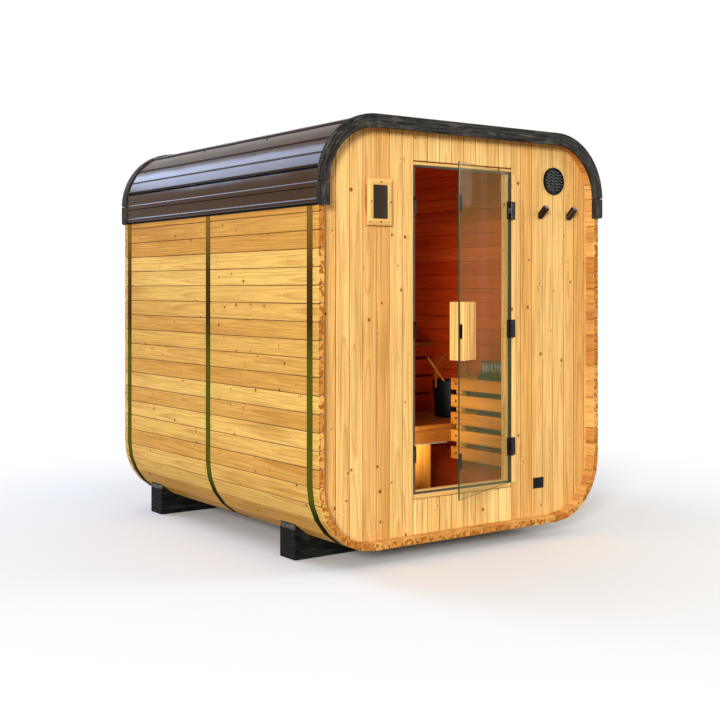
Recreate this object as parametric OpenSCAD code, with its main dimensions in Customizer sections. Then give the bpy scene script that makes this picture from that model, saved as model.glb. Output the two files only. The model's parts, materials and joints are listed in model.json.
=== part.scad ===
// Cube sauna: a barrel of long staves with flat sides and rounded corners, walls of upright
// boards set inside its ends, a ribbed sheet roof, a glass door and a fitted cabin.
// Millimetres, +Z up. X runs across the front, Y runs from the front to the back.

/* [Shell] */
// Width over the staves
shell_w = 2000; // [1900:10:2200]
// Height over the staves
shell_h = 2232; // [2150:1:2300]
// Length of the staves
shell_l = 2275; // [2250:5:2600]
// Radius of the outer corners, over the joints between the staves
corner_r = 352; // [340:1:365]
// Thickness of the staves
stave_t = 38; // [34:1:42]
// Height of the shell's underside above the ground
lift = 85; // [80:5:140]

/* [End walls] */
// How far the end walls stand back inside the staves
wall_inset = 64; // [50:1:80]
// Thickness of the end walls
wall_t = 45; // [40:1:48]

/* [Doorway] */
// Width of the doorway in the front wall
doorway_w = 700; // [690:5:710]
// Height of the doorway
doorway_h = 1800; // [1780:5:1820]
// Height of the doorway's lower edge above the shell's underside
doorway_z = 225; // [220:1:235]
// Sideways place of the doorway's middle
doorway_x = 5; // [0:1:10]

/* [Door] */
// How far the door stands open at rest
door_open = 25; // [15:1:40]
// Thickness of the glass
glass_t = 8; // [8:1:10]
// Height of each hinge
hinge_h = 100; // [80:5:110]

/* [Roof] */
// Thickness that the ribbed sheets fill
sheet_t = 13; // [10:1:15]
// Height of the roof's lower edge above the shell's underside
roof_z = 1764; // [1720:1:1800]
// Width of the black trim boards
trim_w = 71; // [65:1:75]
// Thickness of the black trim boards
trim_t = 22; // [20:1:25]

/* [Benches] */
// Height of the lower bench above the shell's underside
lower_z = 510; // [505:1:510]
// Height of the upper bench above the shell's underside
upper_z = 980; // [975:1:985]

/* [Hidden] */

// Shell
facets = 6;
step = 90 / facets;
flat_x = shell_w / 2 - corner_r;
flat_z = shell_h - corner_r;
inner_x = shell_w / 2 - stave_t;
room_y0 = wall_inset + wall_t;
room_y1 = shell_l - room_y0;

// Doorway, frame and seal
door_x0 = doorway_x - doorway_w / 2;
door_x1 = doorway_x + doorway_w / 2;
door_z1 = doorway_z + doorway_h;
jamb_left = 14;
jamb_right = 24;
head_t = 16;
sill_t = 24;
frame_proud = 10;
frame_d = wall_t + frame_proud;
seal_w = 12;
seal_right_w = 22;
seal_back = 4;
seal_y = wall_inset + seal_back;
seal_d = 10;
seal_z0 = doorway_z + sill_t;
seal_z1 = door_z1 - head_t;

// Door: the hinge pin stands in front of the wall, and the glass hangs behind the pin
edge_gap = 5;
face_gap = 2;
pin_in = 15;
pin_out = 24;
pin_x = door_x1 - pin_in;
pin_y = wall_inset - pin_out;
pin_r = 3.5;
bore_r = 3.55;
knuckle_r = 7;
glass_y = wall_inset - face_gap - glass_t;
glass_x0 = door_x0 + edge_gap;
glass_x1 = pin_x - edge_gap;
glass_z0 = seal_z0 + edge_gap;
glass_z1 = seal_z1 - edge_gap;
hinge_zs = [457, 1123, 1789];
knuckle_gap = 1;
leaf_t = 4;
leaf_w = 34;
web_w = 19;
web_t = 8;
batten_w = 28;
batten_t = 12;
batten_gap = 1;
batten_short = 30;

// Door handles: the outer board stands on two spacers, the inner one on an upright spacer
handle_w = 156;
handle_h = 305;
handle_z = 1126;
handle_gap_h = 74;
handle_board = 10;
outer_edge = 6;
outer_spacer = 13;
inner_edge = 25;
inner_spacer = 50;
inner_spacer_w = 30;
strike_w = 24;
strike_h = 80;
strike_t = 3;

// Catches on the left jamb
catch_w = 19;
catch_h = 80;
catch_y = glass_y + glass_t + edge_gap;
catch_d = seal_y + seal_d - catch_y;

// Roof trim
trim_in = sheet_t - trim_w;
rebate = 8;
sheet_short = 40;
sheet_end = shell_l - sheet_short;
trim_lip = 35;

// Straps and cradles
strap_w = 50;
strap_t = 2;
strap_ys = [76, 1140, 2198];
cradle_w = 148;
cradle_x = 900;
cradle_top = 105;
cradle_ys = [446, 2017];

// Fittings on the front wall
vent_r = 80;
vent_x = 688;
vent_z = 1974;
vent_d = 14;
vent_rim = 12;
vent_back = 4;
slat_count = 7;
slat_h = 6;
slat_in = 2;
peg_xs = [581, 809];
peg_z = 1765;
peg_s = 30;
peg_l = 77;
peg_tilt = 42;
panel_x = -584;
panel_z = 1798;
panel_frame_w = 164;
panel_frame_h = 245;
panel_frame_d = 30;
panel_w = 94;
panel_h = 170;
panel_d = 24;
plate_x = 568;
plate_z = 227;
plate_w = 82;
plate_h = 62;
plate_d = 3;

// Benches
lower_y = 770;
upper_y = 1500;
seat_t = 30;
front_board_t = 22;
front_board_h = 81;
leg_w = 98;
leg_d = 45;
leg_x = 301;
leg_back = 6;
skirt_gap = 18;
skirt_slats = 3;
skirt_rail_h = 70;
skirt_post_x = 600;

// Bucket and ladle
bucket_x = 760;
bucket_y = 1070;
bucket_h = 240;
bucket_r0 = 105;
bucket_r1 = 125;
bucket_wall = 6;
lug_r = 6;
lug_z = 205;
lug_out = 2;
hoop_w = 18;
hoop_t = 5;
hoop_leg = 95;
hoop_drop = 10;
ladle_x = bucket_x - 15;
ladle_y = bucket_y - 40;
ladle_r = 9;
ladle_run = 215;
ladle_rise = 250;
ladle_foot = 150;
arm_h = 18;
arm_z = -16;
cup_r = 36;
cup_t = 4;
cup_top = -10;

// Heater and its guard
heater_x0 = 620;
heater_y0 = 220;
heater_y1 = 660;
heater_z0 = 360;
heater_z1 = 820;
stones_h = 80;
stones_margin = 18;
guard_x = 500;
guard_end = lower_y - 4;
guard_z = 294;
guard_pitch = 107;
guard_slat_h = 75;
guard_slat_t = 20;
guard_slats = 5;
guard_rails = [2, 4];
guard_post = 45;
guard_overhang = 30;

// The whole part is centred on the ground between its foremost and rearmost points
handle_out = outer_spacer + handle_board;
free_edge_y = pin_y - (pin_x - glass_x0) * sin(door_open) + (glass_y - pin_y) * cos(door_open);
handle_y = pin_y - (pin_x - glass_x0 - outer_edge) * sin(door_open)
    + (glass_y - handle_out - pin_y) * cos(door_open);
front_y = min(free_edge_y, handle_y);
rear_y = shell_l + trim_t;
shift_y = -(front_y + rear_y) / 2;

// Corner points of the shell's outline, set off outwards by o. The first angle is a0.
function corner(cx, cz, a0, o) = [
    for (i = [0 : facets])
        let (a = a0 + i * step)
        let (end = i == 0 ? 1 : i == facets ? -1 : 0)
        let (half = end == 0 ? step / 2 : step / 4)
        let (m = a + end * step / 4)
        [cx + corner_r * cos(a) + o / cos(half) * cos(m),
         cz + corner_r * sin(a) + o / cos(half) * sin(m)]
];
function reversed(list) = [for (i = [len(list) - 1 : -1 : 0]) list[i]];
function top_left(o) = corner(-flat_x, flat_z, 90, o);
function bottom_left(o) = corner(-flat_x, corner_r, 180, o);
function outline(o) = concat(
    corner(flat_x, flat_z, 0, o), top_left(o), bottom_left(o), corner(flat_x, corner_r, 270, o)
);
function mirrored(p) = [-p[0], p[1]];

// The straight runs between the corners, and the roof's run down to its lower edge
function top_run(o) = [mirrored(top_left(o)[0]), top_left(o)[0]];
function side_run(o) = [top_left(o)[facets], bottom_left(o)[0]];
function bottom_run(o) = [bottom_left(o)[facets], mirrored(bottom_left(o)[facets])];
function end_run(o) = [top_left(o)[facets], [-shell_w / 2 - o, roof_z]];

module placed() {
    translate([0, shift_y, lift]) children();
}

// A flat outline in X and Z, carried along Y from y for a length l
module along_y(y, l) {
    translate([0, y + l, 0]) rotate([90, 0, 0]) linear_extrude(l) children();
}

module block(x0, x1, y0, y1, z0, z1) {
    translate([x0, y0, z0]) cube([x1 - x0, y1 - y0, z1 - z0]);
}

module both_sides() {
    children();
    mirror([1, 0, 0]) children();
}

// A strip between an outer and an inner run of points
module strip(outer, inner, y, l) {
    along_y(y, l) polygon(concat(outer, reversed(inner)));
}

module end_wall(y) {
    along_y(y, wall_t) polygon(outline(-stave_t));
}

module front_wall_part(x0, x1, z0, z1) {
    color("burlywood") placed() intersection() {
        end_wall(wall_inset);
        block(x0, x1, 0, room_y0 + 1, z0, z1);
    }
}

module front_wall_left() {
    front_wall_part(-shell_w, door_x0, 0, shell_h);
}

module front_wall_right() {
    front_wall_part(door_x1, shell_w, 0, shell_h);
}

module front_wall_head() {
    front_wall_part(door_x0, door_x1, door_z1, shell_h);
}

module front_wall_sill() {
    front_wall_part(door_x0, door_x1, 0, doorway_z);
}

module back_wall() {
    color("burlywood") placed() end_wall(room_y1);
}

module side_wall() {
    strip(side_run(0), side_run(-stave_t), 0, shell_l);
}

module left_wall() {
    color("sandybrown") placed() side_wall();
}

module right_wall() {
    color("sandybrown") placed() mirror([1, 0, 0]) side_wall();
}

module floor_slab() {
    color("sandybrown") placed() strip(bottom_run(0), bottom_run(-stave_t), 0, shell_l);
}

module ceiling() {
    color("sandybrown") placed() strip(top_run(0), top_run(-stave_t), 0, shell_l);
}

module corners_top() {
    color("peru") placed() both_sides()
        strip(top_left(0), top_left(-stave_t), 0, shell_l);
}

module corners_bottom() {
    color("peru") placed() both_sides()
        strip(bottom_left(0), bottom_left(-stave_t), 0, shell_l);
}

// Each strap runs from under the roof down one side, under the shell and up the other side
module straps() {
    half_out = concat([[-shell_w / 2 - strap_t, roof_z]], bottom_left(strap_t));
    half_in = concat([[-shell_w / 2, roof_z]], bottom_left(0));
    right_out = [for (p = reversed(half_out)) mirrored(p)];
    right_in = [for (p = reversed(half_in)) mirrored(p)];
    color("silver") placed() for (y = strap_ys)
        along_y(y - strap_w / 2, strap_w)
            polygon(concat(half_out, right_out, reversed(concat(half_in, right_in))));
}

module roof_sheets_sides() {
    outer = concat(top_left(sheet_t), [[-shell_w / 2 - sheet_t, roof_z]]);
    inner = concat(top_left(0), [[-shell_w / 2, roof_z]]);
    color("dimgray") placed() both_sides()
        strip(outer, inner, -rebate, sheet_end + rebate);
}

module roof_sheet_top() {
    color("dimgray") placed() strip(top_run(sheet_t), top_run(0), -rebate, sheet_end + rebate);
}

// The front trim's back edge is cut down for the sheets, which lie on it
module front_trim_top() {
    color("darkslategray") placed() {
        strip(top_run(sheet_t), top_run(trim_in), -trim_t, trim_t - rebate);
        strip(top_run(0), top_run(trim_in), -rebate, rebate);
    }
}

module front_trim_curves() {
    color("darkslategray") placed() both_sides() {
        strip(top_left(sheet_t), top_left(trim_in), -trim_t, trim_t - rebate);
        strip(top_left(0), top_left(trim_in), -rebate, rebate);
    }
}

module front_trim_ends() {
    color("darkslategray") placed() both_sides() {
        strip(end_run(sheet_t), end_run(trim_in), -trim_t, trim_t - rebate);
        strip(end_run(0), end_run(trim_in), -rebate, rebate);
    }
}

// The rear trim has a lip that lies on the staves behind the sheets
module rear_trim_top() {
    color("darkslategray") placed() {
        strip(top_run(sheet_t), top_run(trim_in), shell_l, trim_t);
        strip(top_run(sheet_t), top_run(0), shell_l - trim_lip, trim_lip);
    }
}

module rear_trim_curves() {
    color("darkslategray") placed() both_sides() {
        strip(top_left(sheet_t), top_left(trim_in), shell_l, trim_t);
        strip(top_left(sheet_t), top_left(0), shell_l - trim_lip, trim_lip);
    }
}

module rear_trim_ends() {
    color("darkslategray") placed() both_sides() {
        strip(end_run(sheet_t), end_run(trim_in), shell_l, trim_t);
        strip(end_run(sheet_t), end_run(0), shell_l - trim_lip, trim_lip);
    }
}

// Two beams across the shell, hollowed to its underside
module cradles() {
    color("black") placed() for (y = cradle_ys) difference() {
        block(-cradle_x, cradle_x, y - cradle_w / 2, y + cradle_w / 2, -lift, cradle_top);
        along_y(y - cradle_w, 2 * cradle_w) polygon(outline(0));
    }
}

module door_frame() {
    y1 = wall_inset + frame_d;
    color("burlywood") placed() difference() {
        block(door_x0, door_x1, wall_inset, y1, doorway_z, door_z1);
        block(door_x0 + jamb_left, door_x1 - jamb_right, 0, y1 + 1, seal_z0, seal_z1);
        block(door_x0 - 1, door_x1 + 1, 0, seal_y + seal_d, seal_z0, seal_z1);
    }
}

module catch_blocks() {
    for (z = hinge_zs)
        block(door_x0, door_x0 + catch_w, catch_y, catch_y + catch_d,
            z - catch_h / 2, z + catch_h / 2);
}

module door_seal() {
    color("dimgray") placed() difference() {
        block(door_x0, door_x1, seal_y, seal_y + seal_d, seal_z0, seal_z1);
        block(door_x0 + seal_w, door_x1 - seal_right_w, 0, room_y0,
            seal_z0 + seal_w, seal_z1 - seal_w);
        catch_blocks();
    }
}

module hinge_batten() {
    color("burlywood") placed()
        block(door_x1 + batten_gap, door_x1 + batten_gap + batten_w,
            wall_inset - batten_t, wall_inset, seal_z0, door_z1 - batten_short);
}

// Knuckle of height h on the hinge pin
module knuckle(z, h) {
    translate([pin_x, pin_y, z]) cylinder(r = knuckle_r, h = h, $fn = 48);
}

module hinge_fixed_leaves() {
    third = hinge_h / 3;
    plate_y = wall_inset - batten_t;
    color("black") placed() for (z = hinge_zs) {
        z0 = z - hinge_h / 2;
        for (zz = [z0, z0 + 2 * third]) {
            knuckle(zz, third);
            block(pin_x, pin_x + web_w, plate_y - web_t, plate_y, zz, zz + third);
        }
        block(pin_x + web_w, pin_x + leaf_w, plate_y - leaf_t, plate_y, z0, z0 + hinge_h);
        translate([pin_x, pin_y, z0]) cylinder(r = pin_r, h = hinge_h, $fn = 48);
    }
}

module door_catches() {
    color("gray") placed() catch_blocks();
}

module vent_grille() {
    color("black") placed() translate([vent_x, wall_inset, vent_z]) {
        rotate([90, 0, 0]) difference() {
            cylinder(r = vent_r, h = vent_d, $fn = 96);
            translate([0, 0, vent_back]) cylinder(r = vent_r - vent_rim, h = vent_d, $fn = 96);
        }
        for (i = [1 : slat_count]) {
            dz = (i - (slat_count + 1) / 2) * 2 * (vent_r - vent_rim) / (slat_count + 1);
            half = sqrt(pow(vent_r - vent_rim / 2, 2) - dz * dz);
            block(-half, half, slat_in - vent_d, -slat_in, dz - slat_h / 2, dz + slat_h / 2);
        }
    }
}

module coat_pegs() {
    color("black") placed() for (x = peg_xs) difference() {
        translate([x, wall_inset, peg_z]) rotate([90 - peg_tilt, 0, 0])
            translate([-peg_s / 2, -peg_s / 2, -peg_s]) cube([peg_s, peg_s, peg_l + peg_s]);
        block(x - peg_s, x + peg_s, wall_inset, room_y1, peg_z - peg_l, peg_z + peg_l);
    }
}

module panel_frame() {
    y0 = wall_inset - panel_frame_d;
    color("burlywood") placed() difference() {
        block(panel_x - panel_frame_w / 2, panel_x + panel_frame_w / 2, y0, wall_inset,
            panel_z - panel_frame_h / 2, panel_z + panel_frame_h / 2);
        block(panel_x - panel_w / 2, panel_x + panel_w / 2, 0, wall_inset + 1,
            panel_z - panel_h / 2, panel_z + panel_h / 2);
    }
}

module dark_panel() {
    color("darkslategray") placed()
        block(panel_x - panel_w / 2, panel_x + panel_w / 2, wall_inset - panel_d, wall_inset,
            panel_z - panel_h / 2, panel_z + panel_h / 2);
}

module badge_plate() {
    color("black") placed()
        block(plate_x - plate_w / 2, plate_x + plate_w / 2, wall_inset - plate_d, wall_inset,
            plate_z - plate_h / 2, plate_z + plate_h / 2);
}

module lower_bench_seat() {
    color("saddlebrown") placed()
        block(-inner_x, inner_x, lower_y, upper_y, lower_z - seat_t, lower_z);
}

module lower_bench_frame() {
    z1 = lower_z - seat_t;
    color("sandybrown") placed() {
        block(-inner_x, inner_x, lower_y, lower_y + front_board_t, z1 - front_board_h, z1);
        both_sides() block(leg_x - leg_w / 2, leg_x + leg_w / 2,
            lower_y + leg_back, lower_y + leg_back + leg_d, stave_t, z1 - front_board_h);
    }
}

module upper_bench_seat() {
    color("saddlebrown") placed()
        block(-inner_x, inner_x, upper_y, room_y1, upper_z - seat_t, upper_z);
}

module upper_bench_skirt() {
    z1 = upper_z - seat_t;
    pitch = (z1 - skirt_rail_h - lower_z) / skirt_slats;
    y1 = upper_y + front_board_t;
    color("saddlebrown") placed() {
        block(-inner_x, inner_x, upper_y, y1, z1 - skirt_rail_h, z1);
        for (i = [0 : skirt_slats - 1])
            block(-inner_x, inner_x, upper_y, y1,
                lower_z + i * pitch, lower_z + (i + 1) * pitch - skirt_gap);
        both_sides() block(skirt_post_x, skirt_post_x + leg_d, y1, y1 + leg_d, stave_t, z1);
    }
}

module bucket() {
    color("black") placed() translate([bucket_x, bucket_y, lower_z]) {
        rotate_extrude($fn = 72) polygon([
            [0, 0], [bucket_r0, 0], [bucket_r1, bucket_h], [bucket_r1 - bucket_wall, bucket_h],
            [bucket_r0 - bucket_wall, bucket_wall], [0, bucket_wall]
        ]);
        both_sides() translate([bucket_r1 - bucket_wall, 0, lug_z]) rotate([0, 90, 0])
            cylinder(r = lug_r, h = bucket_wall + lug_out, $fn = 32);
    }
}

// A bent strip's outline: a half circle over two straight legs
module hoop_outline(r) {
    intersection() {
        union() {
            circle(r = r, $fn = 96);
            translate([-r, -hoop_leg]) square([2 * r, hoop_leg]);
        }
        translate([-r, -hoop_leg]) square([2 * r, hoop_leg + r]);
    }
}

module bucket_handle() {
    r = bucket_r1 + lug_out;
    z = lower_z + lug_z - hoop_drop + hoop_leg;
    color("burlywood") placed() translate([bucket_x, bucket_y - hoop_w / 2, z])
        along_y(0, hoop_w) difference() {
            hoop_outline(r + hoop_t);
            hoop_outline(r);
        }
}

module ladle() {
    length = sqrt(ladle_run * ladle_run + ladle_rise * ladle_rise);
    color("burlywood") placed() translate([ladle_x, ladle_y, lower_z + ladle_foot]) {
        rotate([0, -atan(ladle_run / ladle_rise), 0])
            cylinder(r = ladle_r, h = length, $fn = 32);
        translate([0, 0, cup_top - cup_r]) difference() {
            cylinder(r = cup_r, h = cup_r, $fn = 48);
            translate([0, 0, cup_t]) cylinder(r = cup_r - cup_t, h = cup_r, $fn = 48);
        }
        translate([1 - cup_r, -ladle_r / 2, arm_z]) cube([cup_r, ladle_r, arm_h]);
    }
}

module heater() {
    color("black") placed()
        block(heater_x0, inner_x, heater_y0, heater_y1, heater_z0, heater_z1);
}

module heater_stones() {
    color("gray") placed()
        block(heater_x0 + stones_margin, inner_x - stones_margin, heater_y0 + stones_margin,
            heater_y1 - stones_margin, heater_z1, heater_z1 + stones_h);
}

module heater_guard() {
    x1 = guard_x + guard_slat_t;
    top = guard_z + (guard_slats - 1) * guard_pitch + guard_slat_h;
    far_y = guard_end - guard_overhang;
    color("sandybrown") placed() {
        for (i = [0 : guard_slats - 1]) {
            z = guard_z + i * guard_pitch;
            block(guard_x, x1, room_y0, guard_end, z, z + guard_slat_h);
        }
        for (y = [room_y0, far_y - guard_post])
            block(x1, x1 + guard_post, y, y + guard_post, guard_z, top);
        for (i = guard_rails) {
            z = guard_z + i * guard_pitch;
            block(x1 + guard_post, inner_x, far_y - guard_slat_t, far_y, z, z + guard_slat_h);
        }
    }
}

// What turns with the door, drawn closed and then turned about the hinge pin
module on_door() {
    placed() translate([pin_x, pin_y, 0]) rotate([0, 0, door_open])
        translate([-pin_x, -pin_y, 0]) children();
}

module door_glass() {
    color("tan", 0.35) on_door()
        block(glass_x0, glass_x1, glass_y, glass_y + glass_t, glass_z0, glass_z1);
}

// A board with a gap for the fingers between its two spacers
module outer_handle(z0, z1) {
    x0 = glass_x0 + outer_edge;
    face = glass_y - outer_spacer;
    for (zz = [[z0, handle_z - handle_gap_h / 2], [handle_z + handle_gap_h / 2, z1]])
        block(x0, x0 + handle_w, face, glass_y, zz[0], zz[1]);
    block(x0, x0 + handle_w, face - handle_board, face, z0, z1);
}

// A board that reaches past its spacer, towards the hinges
module inner_handle(z0, z1) {
    x0 = glass_x0 + inner_edge;
    y0 = glass_y + glass_t;
    y1 = y0 + inner_spacer;
    block(x0, x0 + inner_spacer_w, y0, y1, z0, z1);
    block(x0, x0 + handle_w, y1, y1 + handle_board, z0, z1);
}

module door_handles() {
    z0 = handle_z - handle_h / 2;
    z1 = handle_z + handle_h / 2;
    color("burlywood") on_door() {
        outer_handle(z0, z1);
        inner_handle(z0, z1);
    }
}

module hinge_moving_leaves() {
    third = hinge_h / 3;
    h = third - 2 * knuckle_gap;
    color("black") on_door() for (z = hinge_zs) difference() {
        union() {
            knuckle(z - h / 2, h);
            block(pin_x - knuckle_r, pin_x, pin_y, glass_y, z - h / 2, z + h / 2);
            block(glass_x1 - leaf_w, glass_x1, glass_y - leaf_t, glass_y,
                z - hinge_h / 2, z + hinge_h / 2);
        }
        translate([pin_x, pin_y, z - hinge_h]) cylinder(r = bore_r, h = 2 * hinge_h, $fn = 48);
    }
}

module strike_plates() {
    color("gray") on_door() for (z = [hinge_zs[0], handle_z, hinge_zs[2]]) {
        h = z == handle_z ? handle_gap_h : strike_h;
        block(glass_x0, glass_x0 + strike_w, glass_y - strike_t, glass_y, z - h / 2, z + h / 2);
    }
}

front_wall_left();
front_wall_right();
front_wall_head();
front_wall_sill();
back_wall();
left_wall();
right_wall();
floor_slab();  // floor
ceiling();
corners_top();
corners_bottom();
straps();
roof_sheets_sides();
roof_sheet_top();
front_trim_top();
front_trim_curves();
front_trim_ends();
rear_trim_top();
rear_trim_curves();
rear_trim_ends();
cradles();
door_frame();
door_seal();
hinge_batten();
hinge_fixed_leaves();
door_catches();
vent_grille();
coat_pegs();
panel_frame();
dark_panel();
badge_plate();
lower_bench_seat();
lower_bench_frame();
upper_bench_seat();
upper_bench_skirt();
bucket();
bucket_handle();
ladle();
heater();
heater_stones();
heater_guard();
door_glass();
door_handles();
hinge_moving_leaves();
strike_plates();
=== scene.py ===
"""Looks of a cube sauna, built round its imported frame: a Blender add-on that is run as a script."""

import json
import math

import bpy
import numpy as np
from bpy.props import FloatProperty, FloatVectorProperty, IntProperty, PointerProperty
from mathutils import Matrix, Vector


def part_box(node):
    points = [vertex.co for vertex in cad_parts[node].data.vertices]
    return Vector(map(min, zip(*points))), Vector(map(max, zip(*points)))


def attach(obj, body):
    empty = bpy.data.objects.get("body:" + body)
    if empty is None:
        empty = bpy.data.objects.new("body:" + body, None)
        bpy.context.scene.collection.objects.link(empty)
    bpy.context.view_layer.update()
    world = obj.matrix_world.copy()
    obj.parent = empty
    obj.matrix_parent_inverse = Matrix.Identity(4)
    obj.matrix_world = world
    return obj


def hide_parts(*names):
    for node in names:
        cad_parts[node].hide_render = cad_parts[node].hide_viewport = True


bl_info = {
    "name": "Cube sauna",
    "version": (1, 0, 0),
    "blender": (4, 5, 0),
    "location": "3D View > Sidebar > Sauna",
    "description": "Dresses the frame of a cube sauna: staves, boards, roof, door and fitted cabin",
    "category": "Object",
}

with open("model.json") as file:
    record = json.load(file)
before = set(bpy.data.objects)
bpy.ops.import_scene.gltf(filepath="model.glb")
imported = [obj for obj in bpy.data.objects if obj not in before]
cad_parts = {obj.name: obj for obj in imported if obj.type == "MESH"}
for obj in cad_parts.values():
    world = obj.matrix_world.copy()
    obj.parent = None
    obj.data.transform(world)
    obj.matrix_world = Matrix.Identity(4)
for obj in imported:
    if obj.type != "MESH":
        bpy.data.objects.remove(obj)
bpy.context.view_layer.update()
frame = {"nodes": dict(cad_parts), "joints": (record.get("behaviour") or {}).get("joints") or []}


# ------------------------------------------------------------ measures taken from the frame

def corners(node):
    """A CAD node's lowest and highest corner, as a 2 by 3 array."""
    return np.array([list(corner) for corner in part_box(node)])


LEFT, RIGHT = corners("left_wall"), corners("right_wall")
FLOOR, CEILING = corners("floor"), corners("ceiling")
HALF = RIGHT[1, 0]                                  # half the width over the staves
STAVE_T = RIGHT[1, 0] - RIGHT[0, 0]                 # thickness of the staves
Y0, Y1 = LEFT[:, 1]                                 # front and rear ends of the staves
Z0, Z1 = FLOOR[0, 2], CEILING[1, 2]                 # underside and top of the shell
FLAT_X = CEILING[1, 0]                              # half the width of the flat top
RADIUS = HALF - FLAT_X                              # radius of the corners
LOW_C, HIGH_C = Z0 + RADIUS, Z1 - RADIUS            # heights of the corners' centres
INNER_X = HALF - STAVE_T                            # inner faces of the side walls
ROOF = corners("roof_sheets_sides")
TRIM = corners("front_trim_top")
TRIM_DOWN = Z1 - TRIM[0, 2]                         # how far the trim hangs below the staves
REAR_TRIM = corners("rear_trim_top")
WALL_Y0, WALL_Y1 = corners("front_wall_left")[:, 1]
BACK_Y0, BACK_Y1 = corners("back_wall")[:, 1]
FRAME = corners("door_frame")
HINGE = frame["joints"][0]
PIN = np.array(HINGE["pos_m"])
OPEN = -math.radians(HINGE["range_deg"][0])         # how far the door stands open at rest


def swung(points, angle=OPEN):
    """Points turned about the hinge pin: by the usual angle, from the shut door to the open one."""
    c, s = math.cos(angle), math.sin(angle)
    turn = np.array([[c, -s, 0], [s, c, 0], [0, 0, 1]])
    return (np.asarray(points, float) - PIN) @ turn.T + PIN


def shut_corners(node):
    """A door node's lowest and highest corner with the door shut."""
    points = swung([list(v.co) for v in frame["nodes"][node].data.vertices], -OPEN)
    return np.array([points.min(0), points.max(0)])


GLASS = shut_corners("door_glass")


# ------------------------------------------------------------ sizes and colours

def linear(shade):
    """An sRGB hex colour as linear red, green, blue and alpha."""
    channels = [int(shade[k:k + 2], 16) / 255 for k in (1, 3, 5)]
    return [c / 12.92 if c <= 0.04045 else ((c + 0.055) / 1.055) ** 2.4 for c in channels] + [1.0]


def colour(name, shade, description):
    """A colour that the user may change, from its sRGB hex value."""
    return FloatVectorProperty(name=name, description=description, default=linear(shade)[:3],
                               size=3, min=0, max=1, subtype="COLOR")


def length(name, metres, description):
    """A length that the user may change."""
    return FloatProperty(name=name, description=description, default=metres, min=0,
                         unit="LENGTH", precision=4)


def number(name, value, description):
    """A count that the user may change."""
    return IntProperty(name=name, description=description, default=value, min=1)


class SaunaShellSizes(bpy.types.PropertyGroup):
    """Staves, end boards and what carries them."""
    stave: length("Stave width", 0.092, "Pitch of the staves on the flat sides")
    top_staves: number("Top staves", 14, "Staves across the flat top and bottom")
    right_shift: length("Right shift", 0.015, "How much lower the right side's joints lie")
    bead: length("Bead", 0.007, "Height of the round bead on a stave's edge")
    board: length("Board width", 0.0855, "Pitch of the end walls' upright boards")
    ease: length("Eased edge", 0.003, "Size of the eased edges along the joints")
    board_ease: length("Board edge", 0.0022, "Size of the eased edges of the end walls' boards")
    end_play: length("End play", 0.0012, "How unevenly the staves are cut to length")
    cradle_nose: length("Cradle nose", 0.030, "Round on the cradles' upper outer corners")
    cradle_ease: length("Cradle edge", 0.013, "Round on the cradles' edges")
    strap_olive: length("Olive height", 1.10, "Height on the straps where brown turns to olive")


class SaunaRoofSizes(bpy.types.PropertyGroup):
    """Ribbed sheets and black trim boards."""
    panel: length("Panel cover", 0.300, "Distance between the sheets' seams")
    first_seam: length("First seam", 0.183, "First seam's distance up from the eaves")
    base: length("Sheet base", 0.003, "Height of the flat pans over the staves")
    seam: length("Seam height", 0.010, "Height of the seams over the pans")
    rib: length("Rib height", 0.006, "Height of the ribs between the seams")
    swage: length("Swage height", 0.003, "Height of the small swages")
    trim_ease: length("Trim edge", 0.0035, "Round on the trim boards' edges")
    trim_corner: length("Trim corner", 0.016, "Round on the trim's lower outer corners")


class SaunaDoorSizes(bpy.types.PropertyGroup):
    """Doorway lining, glass and ironwork."""
    left_jamb: length("Left jamb", 0.014, "Thickness of the frame's left side")
    right_jamb: length("Right jamb", 0.024, "Thickness of the frame's right side")
    wall_gap: length("Wall gap", 0.003, "Gap between the frame and the wall's boards")
    seal: length("Seal", 0.012, "Width of the grey seal")
    handle_gap: length("Finger gap", 0.074, "Height of the outer handle's finger gap")
    catch: length("Catch height", 0.080, "Height of each catch")


class SaunaFittingSizes(bpy.types.PropertyGroup):
    """Vent, pegs, panel and plate on the front wall."""
    vent_waves: number("Vent slats", 7, "Wavy slats across the vent")
    vent_rim: length("Vent rim", 0.010, "Width of the vent's rim")
    peg: length("Peg width", 0.030, "Side of the square pegs")
    peg_tilt: FloatProperty(name="Peg tilt", default=math.radians(42), subtype="ANGLE",
                            description="How far the pegs tilt up")
    panel_bevel: length("Panel bevel", 0.011, "Fall of the panel frame's bevelled faces")
    screw: length("Screw head", 0.0048, "Radius of the screw heads")


class SaunaCabinSizes(bpy.types.PropertyGroup):
    """Benches, bucket, heater and its guard."""
    lower_boards: number("Lower boards", 7, "Boards in the lower seat")
    upper_boards: number("Upper boards", 6, "Boards in the upper seat")
    seat_gap: length("Seat gap", 0.008, "Gap between the seats' boards")
    leg_x: length("Leg place", 0.301, "Sideways place of the lower bench's legs")
    leg_w: length("Leg width", 0.098, "Width of the lower bench's legs")
    leg_d: length("Leg depth", 0.045, "Depth of the legs and posts")
    front_h: length("Front board", 0.081, "Height of the lower bench's front board")
    front_t: length("Front thickness", 0.022, "Thickness of the front boards")
    strip_end: length("Strip end", 0.471, "Right end of the grey strip under the front board")
    guard_pitch: length("Guard pitch", 0.107, "Pitch of the guard's slats")
    guard_slat: length("Guard slat", 0.075, "Height of the guard's slats")
    guard_t: length("Guard thickness", 0.020, "Thickness of the guard's slats")
    stone: length("Stone", 0.031, "Mean radius of the heater's stones")


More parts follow.
